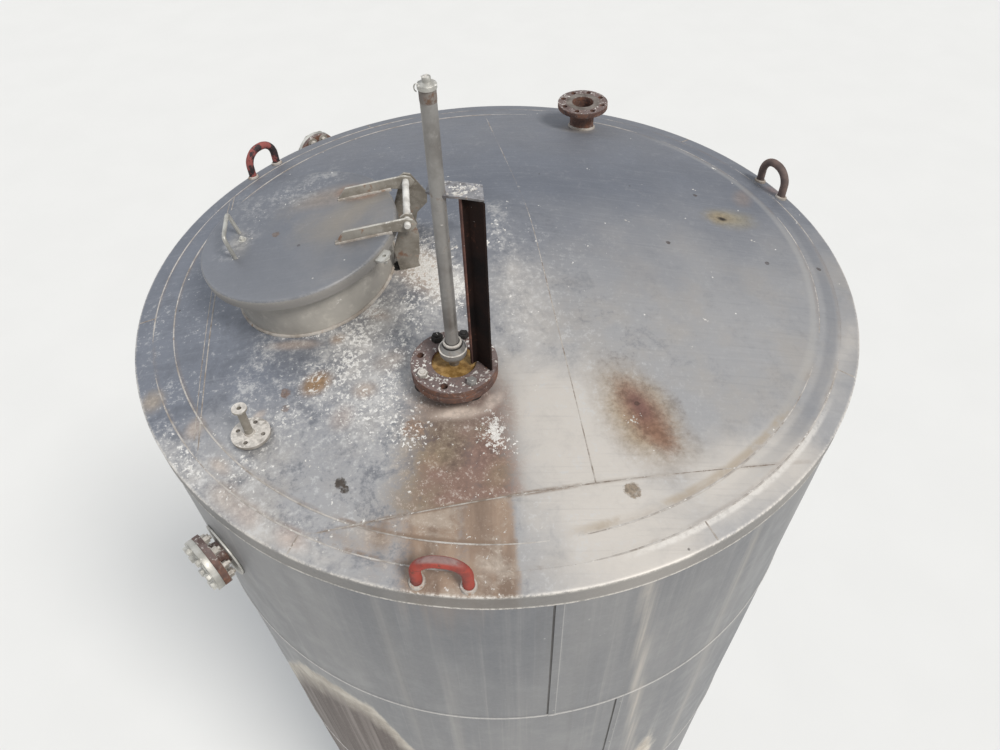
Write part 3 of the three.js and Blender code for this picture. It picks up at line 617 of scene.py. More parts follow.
def ring(r0, z0, r1, z1, corner, steps=1, sides=64):
    """A turned ring with rounded corners or, from radius 0, a disc."""
    return revolve(rounded([(r0, z0), (r1, z0), (r1, z1), (r0, z1)], corner, steps), sides)


def prism(outline, z0, z1):
    n = len(outline)
    verts = [(x, y, z0) for x, y in outline] + [(x, y, z1) for x, y in outline]
    return verts, [list(range(n - 1, -1, -1)), list(range(n, 2 * n))] + skin(2, n)


def sweep(path, radius, sides=12, closed=False, squash=1.0, up=None):
    """A round bar along a path. radius is a number or one number for each point."""
    pts = [Vector(p) for p in path]
    n = len(pts)
    radii = radius if isinstance(radius, list) else [radius] * n
    verts = []
    side = None
    for i, p in enumerate(pts):
        a = pts[i - 1] if (closed or i) else p
        b = pts[(i + 1) % n] if (closed or i < n - 1) else p
        t = (b - a).normalized()
        if up is not None:
            side = t.cross(Vector(up)).normalized()
        elif side is None:
            side = t.orthogonal().normalized()
        else:
            side = (side - t * side.dot(t)).normalized()
        other = side.cross(t).normalized()
        for k in range(sides):
            c, s = math.cos(TAU * k / sides), math.sin(TAU * k / sides)
            verts.append(tuple(p + side * (c * radii[i]) + other * (s * radii[i] * squash)))
    faces = skin(n, sides, closed)
    if not closed:
        faces += [list(range(sides))[::-1], [(n - 1) * sides + k for k in range(sides)]]
    return verts, faces


def moved(part, matrix):
    return [tuple(matrix @ Vector(v)) for v in part[0]], part[1]


def joined(*parts):
    verts, faces = [], []
    for v, f in parts:
        faces += [[len(verts) + i for i in face] for face in f]
        verts += v
    return verts, faces


def bend(points, radius, steps=6):
    """Corner points with each inner corner rounded off."""
    p = [Vector(v) for v in points]
    path = [p[0]]
    for before, corner, after in zip(p, p[1:], p[2:]):
        a, b = before - corner, after - corner
        path += curve(corner + a.normalized() * radius, corner, corner + b.normalized() * radius, steps)
    return path + [p[-1]]


def subdivided(path, step):
    out = []
    for a, b in zip(path, path[1:]):
        n = max(1, round((b - a).length / step))
        out += [a.lerp(b, i / n) for i in range(n)]
    return out + [path[-1]]


def hexagon(across, z0, z1):
    """A hexagon with its upper corners turned down."""
    r = across / math.sqrt(3)
    rings = [(r, z0), (r, z1 - (z1 - z0) * 0.14), (r * 0.91, z1)]
    verts = [(q * math.cos(TAU * i / 6), q * math.sin(TAU * i / 6), z) for q, z in rings for i in range(6)]
    return verts, [list(range(5, -1, -1)), list(range(12, 18))] + skin(3, 6)


def bolt(across, height, stud=0.0, washer=True, turn=0.0):
    """A hex head or nut on a washer, with its stud's end standing out of it."""
    parts = []
    z = 0.0022 if washer else 0.0
    if washer:
        parts.append(ring(0, 0, across * 0.98, z, 0.0006, 1, 20))
    parts.append(moved(hexagon(across, z, z + height), Matrix.Rotation(turn, 4, "Z")))
    if stud:
        r, end, chamfer = across * 0.31, z + height + stud, 0.0015
        parts.append(revolve([(0, z), (r, z), (r, end - chamfer), (r - chamfer, end), (0, end)], 16))
    return joined(*parts)


def to_bmesh(part):
    bm = bmesh.new()
    vs = [bm.verts.new(v) for v in part[0]]
    for face in part[1]:
        if len(face) > 2:
            bm.faces.new([vs[i] for i in face])
    return bm


def new_object(name, part, bevel=0.0):
    bm = to_bmesh(part)
    bmesh.ops.recalc_face_normals(bm, faces=bm.faces[:])
    if bevel:
        bm.normal_update()
        sharp = [e for e in bm.edges if len(e.link_faces) == 2 and e.calc_face_angle(0) > math.radians(25)]
        bmesh.ops.bevel(bm, geom=sharp, offset=bevel, segments=2, profile=0.6, affect="EDGES",
                        clamp_overlap=True)
    mesh = bpy.data.meshes.new(name)
    bm.to_mesh(mesh)
    bm.free()
    return link(name, mesh)


def build(name, part, mat, body="tank", nodes=(), matrix=None, smooth=38.0, bevel=0.0, holes=()):
    """Makes one piece of the model, closes its normals, cuts its holes and rides it on its body."""
    obj = new_object(name, part if matrix is None else moved(part, matrix), bevel)
    if holes:
        cut(obj, holes)
    mesh = obj.data
    mesh.polygons.foreach_set("use_smooth", [True] * len(mesh.polygons))
    mesh.set_sharp_from_angle(angle=math.radians(smooth))
    mesh.materials.clear()
    mesh.materials.append(MATS[mat])
    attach(obj, body)
    if nodes:
        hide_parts(*nodes)
    return obj


def cut(obj, parts):
    """Takes closed parts, in place, out of the object."""
    tools = []
    for i, part in enumerate(parts):
        tools.append(new_object(f"{obj.name}_tool_{i}", part))
        mod = obj.modifiers.new(f"cut_{i}", "BOOLEAN")
        mod.operation, mod.solver, mod.object = "DIFFERENCE", "EXACT", tools[-1]
    bpy.context.view_layer.update()
    graph = bpy.context.evaluated_depsgraph_get()
    done = bpy.data.meshes.new_from_object(obj.evaluated_get(graph))
    obj.modifiers.clear()
    obj.data = done
    for tool in tools:
        bpy.data.objects.remove(tool)


def drill(x, y, r, z0, z1, matrix, sides=24):
    return moved(moved(revolve([(0, z0), (r, z0), (r, z1), (0, z1)], sides), at(x, y)), matrix)


def wave(p, scale, seed=0.0):
    return noise.noise(Vector((p[0] * scale + seed, p[1] * scale - seed, p[2] * scale + 3 * seed)))


def near_stroke(x, y, stroke):
    """1 on a stroke from (x0, y0) to (x1, y1), falling to 0 at its width w0..w1 away."""
    x0, y0, x1, y1, w0, w1 = stroke
    dx, dy = x1 - x0, y1 - y0
    length = max(dx * dx + dy * dy, 1e-9)
    t = np.clip(((x - x0) * dx + (y - y0) * dy) / length, 0, 1)
    d = np.hypot(x - x0 - t * dx, y - y0 - t * dy)
    return np.clip(1 - d / (w0 + (w1 - w0) * t), 0, 1)


# each stroke, in centimetres and percent: x0, y0, x1, y1, width there and there, strength
STAINS = {
    "cold": [
        (-110, 15, -100, -50, 28, 22, 95), (-80, -42, -62, -50, 16, 18, 35), (-95, 35, -60, 75, 25, 25, 45),
        (-30, -95, -45, -72, 16, 18, 20), (-20, 15, 10, 55, 40, 30, 12),
    ],
    "rust": [
        (-13, -66, -14, -97, 20, 25, 100), (-5, -66, -2, -93, 16, 16, 95), (-22, -70, -22, -95, 12, 16, 60),
        (-11.5, -60, -11.5, -64, 11, 13, 80), (-18, -111, -4, -114, 3, 3, 80),
        (-22, -102, 2, -103, 2, 2, 70), (-30, -16, -16, -30, 5, 6, 45), (-25, -94, 0, -90, 3, 3, 60),
    ],
    "ochre": [
        (-17, -97, -17, -114, 15, 15, 90), (-4, -95, -3, -114, 12, 11, 110), (20, -86, 62, -80, 5, 5, 25),
        (-60, -86, -30, -105, 7, 9, 40), (-30, -12, -24, -30, 5, 6, 60), (-26, -84, -30, -100, 8, 12, 55),
        (10, -30, 12, -45, 5, 5, 40), (-36, -96, -30, -112, 8, 10, 30),
    ],
    # pale crust in several places, and painted sunlight on the front right (the strokes from x 12 to 110)
    "pale": [
        (-93, -64, -80, -80, 9, 10, 35), (-66, -60, -52, -60, 14, 14, 25), (12, -66, 32, -105, 30, 36, 110),
        (55, -88, 75, -80, 22, 20, 90), (6, -22, 12, -55, 16, 20, 50), (-40, -105, -62, -95, 9, 10, 50),
        (90, -60, 110, -30, 10, 8, 50), (-28, -113, 20, -115, 4, 4, 40), (-27, -12, -14, -27, 10, 12, 90),
        (5, -22, 4, -34, 8, 8, 50), (-34, -34, -40, -52, 17, 17, 55),
    ],
    "white": [
        (-27, -10, -14, -28, 15, 15, 130), (-24, -28, -30, -62, 15, 15, 80), (-2, -70, -1, -77, 5, 5, 120),
        (6, -26, 6, -40, 12, 12, 50), (-70, -82, -56, -62, 14, 14, 65), (-93, -62, -88, -72, 8, 9, 60),
        (-86, -70, -80, -80, 7, 7, 90), (-62, -28, -70, -46, 12, 12, 45), (-50, -52, -25, -72, 22, 20, 75),
        (-20, -112, 0, -113, 9, 7, 50), (-45, -100, -80, -78, 8, 8, 50), (-60, -36, -42, -38, 5, 5, 80),
        (-90, -72, -86, -76, 5, 5, 90), (-36, -30, -42, -50, 16, 16, 100), (2, -12, 0, 5, 8, 6, 50),
    ],
    "busy": [
        (-85, -75, 0, -70, 75, 70, 130), (-95, -20, -20, -10, 45, 50, 90), (5, -15, 8, -60, 35, 30, 80),
        (-85, 45, -20, 55, 40, 35, 35), (30, -105, 80, -80, 30, 30, 30),
    ],
}
LID_STAINS = {
    "cold": [],
    "pale": [(-46, -12, -36, -2, 22, 20, 80), (-62, -2, -45, 5, 14, 16, 50)],
    "rust": [(-42, 0, -31, 3, 4.5, 3.5, 70), (-43, -22, -34, -19, 3, 2, 40)],
    "white": [(-72, 2, -50, 14, 10, 10, 42), (-78, -18, -73, -10, 5, 5, 50)],
    "busy": [(-78, 0, -40, 10, 30, 30, 50)],
}


def attribute(mesh, name, value):
    mesh.attributes.new(name, "FLOAT", "POINT").data.foreach_set("value", np.asarray(value, np.float32))


def places(mesh):
    co = np.empty(len(mesh.vertices) * 3, np.float32)
    mesh.vertices.foreach_get("co", co)
    return (co[i::3].astype(float) for i in range(3))


def paint(mesh, stains, edge=None):
    """Writes each kind of stain as an attribute. edge(x, y, z) gives the painted highlight on edges."""
    x, y, z = places(mesh)
    for name, strokes in stains.items():
        value = np.zeros(len(x))
        for row in strokes:
            *stroke, strength = (v / 100 for v in row)
            value = np.maximum(value, near_stroke(x, y, stroke) * strength)
        if name in ("rust", "ochre") and stains is STAINS:
            across = y * math.cos(SEAM_TURN) - x * math.sin(SEAM_TURN)
            in_front = np.clip((SEAM_FRONT - across) / 0.004 + 0.5, 0, 1)
            sharp = np.clip((0.045 - x) / 0.012, 0, 1)
            soft = np.clip((0.13 - x) / 0.10, 0, 1)
            side = sharp * in_front + soft * (1 - in_front)
            value *= np.maximum(side, np.clip((x - 0.2) / 0.05, 0, 1))
            value *= 1 - 0.8 * in_front if name == "rust" else 0.3 + 0.7 * np.maximum(in_front, x > 0.15)
        attribute(mesh, name, value)
    if edge:
        attribute(mesh, "edge", edge(x, y, z))


def ring_levels():
    """(low, high) of each ring of cladding, from the top down."""
    top = RIM_Z + SLOPE * (RIM_R - CLAD_R) - PLATE - 0.0006
    joints = []
    z = RIM_Z - RING_TOP
    while z > CLAD_LOW + 0.2:
        joints.append(z)
        z -= RING_STEP
    return list(zip(joints + [CLAD_LOW], [top] + [j - RING_GAP for j in joints]))


SHEET_SEAMS = [-84.2, -72.9, -96.5, -61.0, -88.0, -74.0, -99.0, -66.0, -83.0, -71.5]
BEAD_H, BEAD_OUT = 0.012, 0.0034
LAP_OUT, LAP_WIDE, LAP_END = 0.0014, 1.1, 2.25  # metres, degrees, degrees


def seam_shape(a, seams):
    """How far the sheet stands out at azimuth a for the lap of a seam, the painted highlight at the
    lap's edge, and the painted shadow in the gap.
    """
    lap, near, gap = 0.0, 0.0, 0.0
    for seam in seams:
        d = (a - seam) % 360
        if d > 359.99:
            d = 0.0
        if 0.01 < d < LAP_WIDE + 0.05:
            lap, near = LAP_OUT, 0.5 * (abs(d - LAP_WIDE) < 0.02)
        elif LAP_WIDE < d < LAP_END:
            lap = LAP_OUT * 0.25 * (LAP_END - d) / (LAP_END - LAP_WIDE)
        elif d < 0.01 or d > 359.76:
            lap, gap = -0.0010, 1.0
    return lap, near, gap


def cladding_ring(index, low, high):
    seams = [SHEET_SEAMS[index] + 120 * k for k in range(3)]
    angles = {round(360 * i / 288, 4) for i in range(288)}
    angles |= {round((seam + offset) % 360, 4) for seam in seams
               for offset in (-0.26, -0.22, 0.0, 0.04, 0.10, LAP_WIDE - 0.1, LAP_WIDE, LAP_WIDE + 0.1, 2.2)}
    columns = [(*polar(1, a), *seam_shape(a, seams)) for a in sorted(angles)]
    height = high - low
    rows = [BEAD_H * k / 6 for k in range(7)]
    rows += [BEAD_H + 0.003 + (height - BEAD_H - 0.009) * i / 22 for i in range(23)] + [height]
    verts, edges, gaps = [], [], []
    for row in rows:
        z = low + row
        swell = math.sin(math.pi * min(row, BEAD_H) / BEAD_H) if index < 9 else 0.0
        hold = max(0.0, min(1.0, row / 0.08, (height - row - 0.07) / 0.08))
        for x, y, lap, near, gap in columns:
            dent = 0.0026 * wave((x * 2.2, y * 2.2, z * 1.6), 1.0, index) * hold
            r = min(MOST_R, CLAD_R + 0.0001 + max(-0.0007, min(dent, 0.0016)) + lap + BEAD_OUT * swell)
            verts.append((r * x, r * y, z))
            edges.append(max(swell, near))
            gaps.append(gap * (row > BEAD_H))
    inner = CLAD_R - CLAD_T - 0.0018
    verts += [(inner * x, inner * y, z) for z in (high, low) for x, y, *_ in columns]
    behind = [0.0] * (2 * len(columns))
    obj = build(f"cladding_sheet_{index + 1}", (verts, skin(len(rows) + 2, len(columns), True)), "cladding",
                nodes=[f"cladding_ring_{index + 1}"], smooth=28)
    # edge is painted highlight on beads and lap edges, gap is painted shadow in the lap grooves
    attribute(obj.data, "edge", edges + behind)
    attribute(obj.data, "gap", gaps + behind)
    stain_cladding(obj.data)
    head = revolve([(0, 0.0018), (0.0025, 0.0015), (0.0041, 0.0006), (0.0046, -0.0006)], 10)
    last = max(2, round(height / 0.13)) - 1
    rivets = [moved(head, radial(seam + 0.8, low + 0.04 + (height - 0.08) * i / last)
                    @ at(z=CLAD_R + LAP_OUT - 0.0014)) for seam in seams for i in range(last + 1)]
    build(f"cladding_rivets_{index + 1}", joined(*rivets), "bright")


CRUST_AZ = [-168, -150, -135, -130.6, -124, -118.7, -113.6, -109, -104, -98, -92]
CRUST_TOP = [9, 1.8, 1.15, 1.02, 0.90, 0.93, 0.97, 1.25, 1.55, 2.1, 3.0]  # below the rim, at those azimuths
STREAKS = [  # azimuth at the top and 1.5 m down, half width, strength
    (-72.6, -66.8, 0.8, 1.0), (-98, -99, 0.45, 0.22), (-106, -107, 0.5, 0.2), (-55, -54, 0.7, 0.5),
    (20, 21, 0.6, 0.6), (95, 94, 0.7, 0.6), (160, 161, 0.6, 0.6), (-160, -160, 0.8, 0.4)]


def stain_cladding(mesh):
    """Low in front the sheets carry a pale crust; rusty run-off comes from the rim above."""
    x, y, z = places(mesh)
    azimuth = np.degrees(np.arctan2(y, x))
    down = RIM_Z - z
    top = np.interp(azimuth, CRUST_AZ, CRUST_TOP, left=9, right=4)
    side = np.clip((-azimuth - 97) / 10, -1, 1) * 0.5
    fade = np.clip((down - 2.6) / 4.6, 0, 1) * (0.62 + np.abs(azimuth + 121) / 34)
    crust = np.clip(0.5 + (down - top) / 0.8, 0, 1) - fade
    crust = np.clip(np.minimum(crust, 0.75 + side), 0, 1)
    rust = np.clip(1 - np.abs(azimuth + 97) / 11, 0, 1) * np.clip(1 - down / 0.5, 0, 1) * 0.9
    streak = np.zeros(len(x))
    for start, end, wide, strength in STREAKS:
        middle = start + (end - start) * np.clip(down / 1.5, 0, 1)
        away = np.abs((azimuth - middle + 180) % 360 - 180)
        run = np.clip(1.4 - away / wide, 0, 1) * strength * np.clip(1.3 - down / 4, 0, 1)
        streak = np.maximum(streak, run)
    patch = 1 - np.hypot((azimuth + 63) / 6.5, (down - 1.85) / 0.75)
    crust = np.maximum(crust, np.clip(0.34 + 0.34 * patch, 0, 0.60))
    for name, value in (("crust", crust), ("rust", rust), ("streak", streak)):
        attribute(mesh, name, value)


for i, (low, high) in enumerate(ring_levels()):
    cladding_ring(i, low, high)


def sag(x, y):
    """How far the thin roof plates hang below a true cone."""
    big = 0.5 + 0.5 * wave((x, y, 0), 2.6, 4.0)
    small = 0.5 + 0.5 * wave((x, y, 0), 7.5, 9.0)
    return 0.0026 * big + 0.0008 * small


def roof_cone():
    """The whole cone of plates as one closed grid of rings."""
    radii = [0.0, 0.012, 0.024] + [0.024 + (BAND_R - 0.024) * (i / 66) ** 0.92 for i in range(1, 67)]
    top = [(r, cone(max(r, 0.008))) for r in radii]
    verts, faces = revolve(top + [(r, z - PLATE) for r, z in top[::-1]], 300)
    hung = [(x, y, z - sag(x, y) * min(1.0, (BAND_R - math.hypot(x, y)) / 0.03)) for x, y, z in verts]
    return hung, faces


def roof_plates():
    whole = roof_cone()
    turn = tip(7.5, "Z")
    across, along = turn @ Vector((0, 1, 0)), turn @ Vector((1, 0, 0))
    gap = 0.00015
    behind, right_of = (across, SEAM_FRONT + gap, -1), (along, SEAM_RIGHT + gap, -1)
    cells = {
        "front": [(across, SEAM_FRONT - gap, 1)],
        "left": [behind, (along, SEAM_LEFT - gap, 1)],
        "middle": [behind, (along, SEAM_LEFT + gap, -1), (along, SEAM_RIGHT - gap, 1)],
        "right": [behind, right_of],
    }
    pipe_hole = (PIPE, 0.0573, 48)
    holes = {"middle": [(MANWAY, 0.243, 96), pipe_hole], "right": [(REAR, 0.0483, 48), pipe_hole]}
    for name, planes in cells.items():
        bm = to_bmesh(whole)
        for normal, offset, sign in planes:
            geom = bm.verts[:] + bm.edges[:] + bm.faces[:]
            made = bmesh.ops.bisect_plane(bm, geom=geom, dist=1e-6, plane_co=normal * offset,
                                          plane_no=normal * sign, clear_outer=True)
            edges = [e for e in made["geom_cut"] if isinstance(e, bmesh.types.BMEdge)]
            bmesh.ops.holes_fill(bm, edges=edges, sides=0)
        bm.verts.index_update()
        part = ([tuple(v.co) for v in bm.verts], [[v.index for v in f.verts] for f in bm.faces])
        bm.free()
        nodes = [f"roof_plate_{name}"] + ["rear_insert"] * (name == "right")
        obj = build(f"roof_sheet_{name}", part, "roof", nodes=nodes, smooth=25,
                    holes=[drill(0, 0, r, -0.12, 0.12, m, sides) for m, r, sides in holes.get(name, ())])
        paint(obj.data, STAINS)


roof_plates()

# radius; height above the cone or, on the skirt, above the rim's edge; how much painted highlight, partly
# crust, it carries
RIM_SECTION = [
    (BAND_R + 0.0003, 0, 0), (1.105, 0, 0), (1.12, 0, 0), (1.133, 0, 0), (1.142, 0, 0),
    (1.1462, -0.0002, 0.5), (1.1480, -0.0008, 1), (1.1492, -0.0022, 1), (1.1497, -0.0046, 0.5),
    (1.1492, -0.012, 0), (1.1488, -0.036, 0),
    (1.1489, -0.054, 0), (1.1494, -0.0562, 0.7), (1.14995, -0.0584, 1), (1.14995, -0.0606, 1),
    (1.1490, -0.062, 0.8), (1.1465, -0.062, 0.2), (1.1457, -0.060, 0), (1.1457, -0.02, 0),
    (1.1454, -PLATE - 0.003, 0), (1.143, -PLATE - 0.0012, 0), (1.12, -PLATE, 0), (BAND_R + 0.0003, -PLATE, 0),
]
SKIRT_FROM, SKIRT_TO = 8, 18  # the rows of the section that are on the skirt


def rim_sheets():
    """The rim's segments: an outer band of roof turned down into a skirt with a rolled lower edge."""
    n = len(RIM_SECTION)
    inset = 0.0075  # degrees
    for i, a0 in enumerate(RIM_JOINTS):
        a1 = RIM_JOINTS[(i + 1) % len(RIM_JOINTS)]
        if a1 <= a0:
            a1 += 360
        count = max(24, round(a1 - a0))
        verts = []
        for k in range(count + 1):
            x, y = polar(1, a0 + inset + (a1 - a0 - 2 * inset) * k / count)
            dent = 0.0012 * min(0, wave((x, y, 0), 9.0, 2.0) - 0.15)
            for j, (r, dz, _) in enumerate(RIM_SECTION):
                base = RIM_Z if SKIRT_FROM <= j <= SKIRT_TO else cone(r)
                if SKIRT_FROM < j <= SKIRT_TO:
                    r += dent
                verts.append((r * x, r * y, base + dz))
        ends = [list(range(n)), [count * n + j for j in range(n)][::-1]]
        obj = build(f"rim_sheet_{i + 1}", (verts, skin(count + 1, n) + ends), "roof",
                    nodes=[f"rim_segment_{i + 1}"], smooth=50)
        paint(obj.data, STAINS)
        # the rim's rounded edges carry painted highlight, partly crust
        attribute(obj.data, "edge", [bright for *_, bright in RIM_SECTION] * (count + 1))


rim_sheets()


def bead(path, width, height, step=0.006, closed=False, seed=0.0, broken=0.0):
    """A rippled weld bead along a path of vectors, sunk out of sight in places where it is broken."""
    pts = subdivided(path, step)
    if closed:
        pts = pts[:-1]
    if broken:
        sunk = [min(1.2, max(0.0, broken + worn_flat(p) + 1.6 * wave(p, 4.0, seed))) for p in pts]
        pts = [p - Vector((0, 0, height * by)) for p, by in zip(pts, sunk)]
    radii = [width / 2 * (1 + 0.22 * wave(p, 90, seed) + 0.06 * (-1) ** k) for k, p in enumerate(pts)]
    return sweep(pts, radii, 8, closed, squash=height / width * 2, up=(0, 0, 1))


def worn_flat(p):
    """The welds show least at the back and on the right."""
    return 0.75 * min(1.0, max(0.0, (p.x + 0.6 * p.y - 0.15) / 0.5))


def circle_bead(radius, width, height, sink=0.0):
    path = [Vector((*polar(radius, a), cone(radius) - sink)) for a in np.linspace(0, 360, 361)]
    return bead(path, width, height, closed=True, seed=radius, broken=0.38)


def seam_bead(fixed, along_y, low, high, width=0.0042, height=0.0011):
    """A straight bead on the plates' turned grid."""
    path = []
    turn = tip(7.5, "Z")
    for t in np.linspace(low, high, 60):
        p = turn @ (Vector((fixed, t, 0)) if along_y else Vector((t, fixed, 0)))
        p.z = roof_z(p.x, p.y) - sag(p.x, p.y)
        path.append(p)
    return bead(path, width, height, seed=fixed, broken=0.2)


def roof_welds():
    def reach(offset):
        return math.sqrt(BAND_R ** 2 - offset ** 2)
    left_low = max(SEAM_FRONT, -reach(SEAM_LEFT))
    beside = SEAM_LEFT - 0.014
    seams = [
        seam_bead(SEAM_FRONT, False, -reach(SEAM_FRONT), reach(SEAM_FRONT)),
        seam_bead(SEAM_LEFT, True, left_low, reach(SEAM_LEFT), 0.004),
        seam_bead(beside, True, left_low, reach(beside), 0.0028, 0.0007),
        seam_bead(SEAM_RIGHT, True, SEAM_FRONT, reach(SEAM_RIGHT)),
    ]
    build("roof_seam_welds", joined(*seams), "seam")
    build("rim_weld", circle_bead(BAND_R, 0.0050, 0.0014), "circle")
    build("inner_weld", circle_bead(RING_A, 0.0048, 0.0013, 0.0014), "circle")
    ends = [bead([Vector((*polar(r, a), cone(r) - 0.0004)) for r in (BAND_R, 1.12, 1.1440)],
                 0.005, 0.0014, seed=a) for a in RIM_JOINTS]
    build("rim_joint_welds", joined(*ends), "seam")


roof_welds()


def foot_path(matrix, radius, count=96):
    """Where a round neck of that radius, in its own frame, meets the roof."""
    path = []
    for i in range(count + 1):
        x, y = radius * math.cos(TAU * i / count), radius * math.sin(TAU * i / count)
        z = 0.0
        for _ in range(12):
            p = matrix @ Vector((x, y, z))
            z += roof_z(p.x, p.y) - p.z
        path.append(matrix @ Vector((x, y, z)))
    return path


def foot_bead(matrix, radius, count, width, height, step=0.006, seed=0.0):
    return bead(foot_path(matrix, radius, count), width, height, step, True, seed)


def flake(x, y, reach, thick, lift=None, sides=12):
    """One dried splash: a low dome with a ragged outline, on the roof or at a given height."""
    def ground(px, py):
        return roof_z(px, py) - sag(px, py) if lift is None else lift
    seed = rng.uniform(0, 50)
    stretch, turn = rng.uniform(0.55, 1.0), rng.uniform(0, TAU)
    verts = []
    for scale, rise in ((1.0, 0.0), (0.82, 0.7), (0.4, 1.0)):
        for i in range(sides):
            c, s = math.cos(TAU * i / sides), math.sin(TAU * i / sides)
            r = reach * scale * max(0.35, 0.85 + 1.25 * noise.noise(Vector((c * 1.7, s * 1.7, seed))))
            px, py = r * c, r * stretch * s
            qx = x + px * math.cos(turn) - py * math.sin(turn)
            qy = y + px * math.sin(turn) + py * math.cos(turn)
            verts.append((qx, qy, ground(qx, qy) - 0.0002 + thick * rise))
    verts.append((x, y, ground(x, y) + thick * 1.05))
    faces = skin(3, sides) + [[2 * sides + i, 2 * sides + (i + 1) % sides, 3 * sides] for i in range(sides)]
    return verts, faces + [list(range(sides))[::-1]]


def crumbs(place, z, thick, rate, largest, groups, keep):
    """Small splashes round each (x, y, count, spread), where keep(u, v) lets them be."""
    parts = []
    for x, y, count, spread in groups:
        for _ in range(count):
            u, v = x + rng.gauss(0, spread), y + rng.gauss(0, spread)
            if keep(u, v):
                size = rng.uniform(0.0015, largest)
                parts.append(moved(flake(0, 0, size, thick + rate * size, 0.0), place @ at(u, v, z)))
    return joined(*parts)


def splashes():
    """Droppings where birds sit: clusters of x, y and spread in mm, count, sizes in tenths of mm."""
    clusters = [
        (-190, -190, 85, 80, 15, 100), (-300, -420, 100, 40, 12, 60), (-270, -620, 70, 30, 12, 70),
        (-22, -728, 18, 70, 8, 45), (-2, -755, 20, 60, 8, 45), (-130, -780, 100, 46, 6, 24),
        (-120, -980, 100, 40, 6, 24), (30, -560, 90, 16, 12, 40), (-700, -790, 60, 26, 12, 60),
        (-890, -740, 25, 30, 12, 70), (-560, -500, 140, 26, 10, 50), (-420, -680, 140, 34, 10, 45),
        (-240, -710, 30, 16, 10, 50), (-160, -1060, 100, 14, 12, 50), (-20, -1090, 50, 8, 15, 60),
        (-500, -970, 140, 16, 12, 50), (-120, -880, 140, 20, 10, 45), (345, -700, 10, 6, 20, 50),
        (100, -240, 120, 14, 15, 40), (-350, 250, 250, 24, 12, 40), (-900, -250, 120, 10, 12, 40),
        (450, 100, 300, 14, 12, 40), (20, -50, 80, 10, 15, 60),
    ]
    parts = []

    def drop(px, py, size):
        on_plate = math.hypot(px, py) < 1.13 and math.hypot(px + 0.549, py + 0.117) > 0.262
        if on_plate and math.hypot(px + 0.115, py + 0.573) > 0.06:
            parts.append(flake(px, py, size, 0.0005 + size * 0.05))

    for *where, count, smallest, largest in clusters:
        x, y, spread = (v / 1000 for v in where)
        small, large = smallest / 10000, largest / 10000
        for _ in range(count):
            px, py = x + rng.gauss(0, spread), y + rng.gauss(0, spread)
            size = small + (large - small) * rng.random() ** 2.2
            drop(px, py, size)
            for _ in range(rng.choice((0, 1, 1, 2, 3))):
                away = size * rng.uniform(0.9, 3.2)
                near_x, near_y = polar(away, rng.uniform(0, 360))
                drop(px + near_x, py + near_y, size * rng.uniform(0.2, 0.55))
    single = ((0.433, 0.067), (0.845, 0.547), (0.720, 0.345), (0.860, 0.057), (0.610, -0.351),
              (0.345, -0.705))
    for px, py in single:
        drop(px, py, 0.006)
        drop(px + 0.008, py - 0.005, 0.003)
    build("roof_splashes", joined(*parts), "deposit", smooth=60)


splashes()


def manway_lid():
    """The dished lid with its turned-down edge."""
    under, low = LID_TOP - LID_T, LID_TOP - LID_SKIRT
    top = [(r, LID_TOP) for r in (0.0, 0.03, 0.06, 0.09, 0.12, 0.15, 0.18, 0.21, 0.235, 0.26, 0.275)]
    side = [(0.287, LID_TOP), (0.2920, LID_TOP - 0.0012), (0.2948, LID_TOP - 0.0042),
            (LID_R, LID_TOP - 0.009), (LID_R, LID_TOP - 0.024), (LID_R, low + 0.001), (LID_R - 0.001, low),
            (LID_R - 0.003, low), (LID_R - 0.004, low + 0.001), (LID_R - 0.004, under - 0.001),
            (LID_R - 0.005, under), (0.2, under), (0.0, under)]
    verts, faces = revolve(top + side, 180)
    dished = []
    for x, y, z in verts:
        bowl = max(0.0, 1 - (math.hypot(x, y) / 0.285) ** 2)
        dished.append((x, y, z - 0.0016 * (0.5 + 0.5 * wave((x, y, 0), 5.0, 1.0)) * bowl))
    lid = build("manway_cover", (dished, faces), "lid", "manway_lid", ["manway_lid"], MANWAY)
    inverse = MANWAY.inverted()

    # painted highlight along the lid's rounded upper corner
    def lid_edge_highlight(x, y, z):
        local = [inverse @ Vector(p) for p in zip(x, y, z)]
        return np.array([max(0.0, 1 - abs(math.hypot(p.x, p.y) - 0.294) / 0.004) * (p.z > LID_TOP - 0.012)
                         for p in local]) * 0.22

    paint(lid.data, LID_STAINS, lid_edge_highlight)


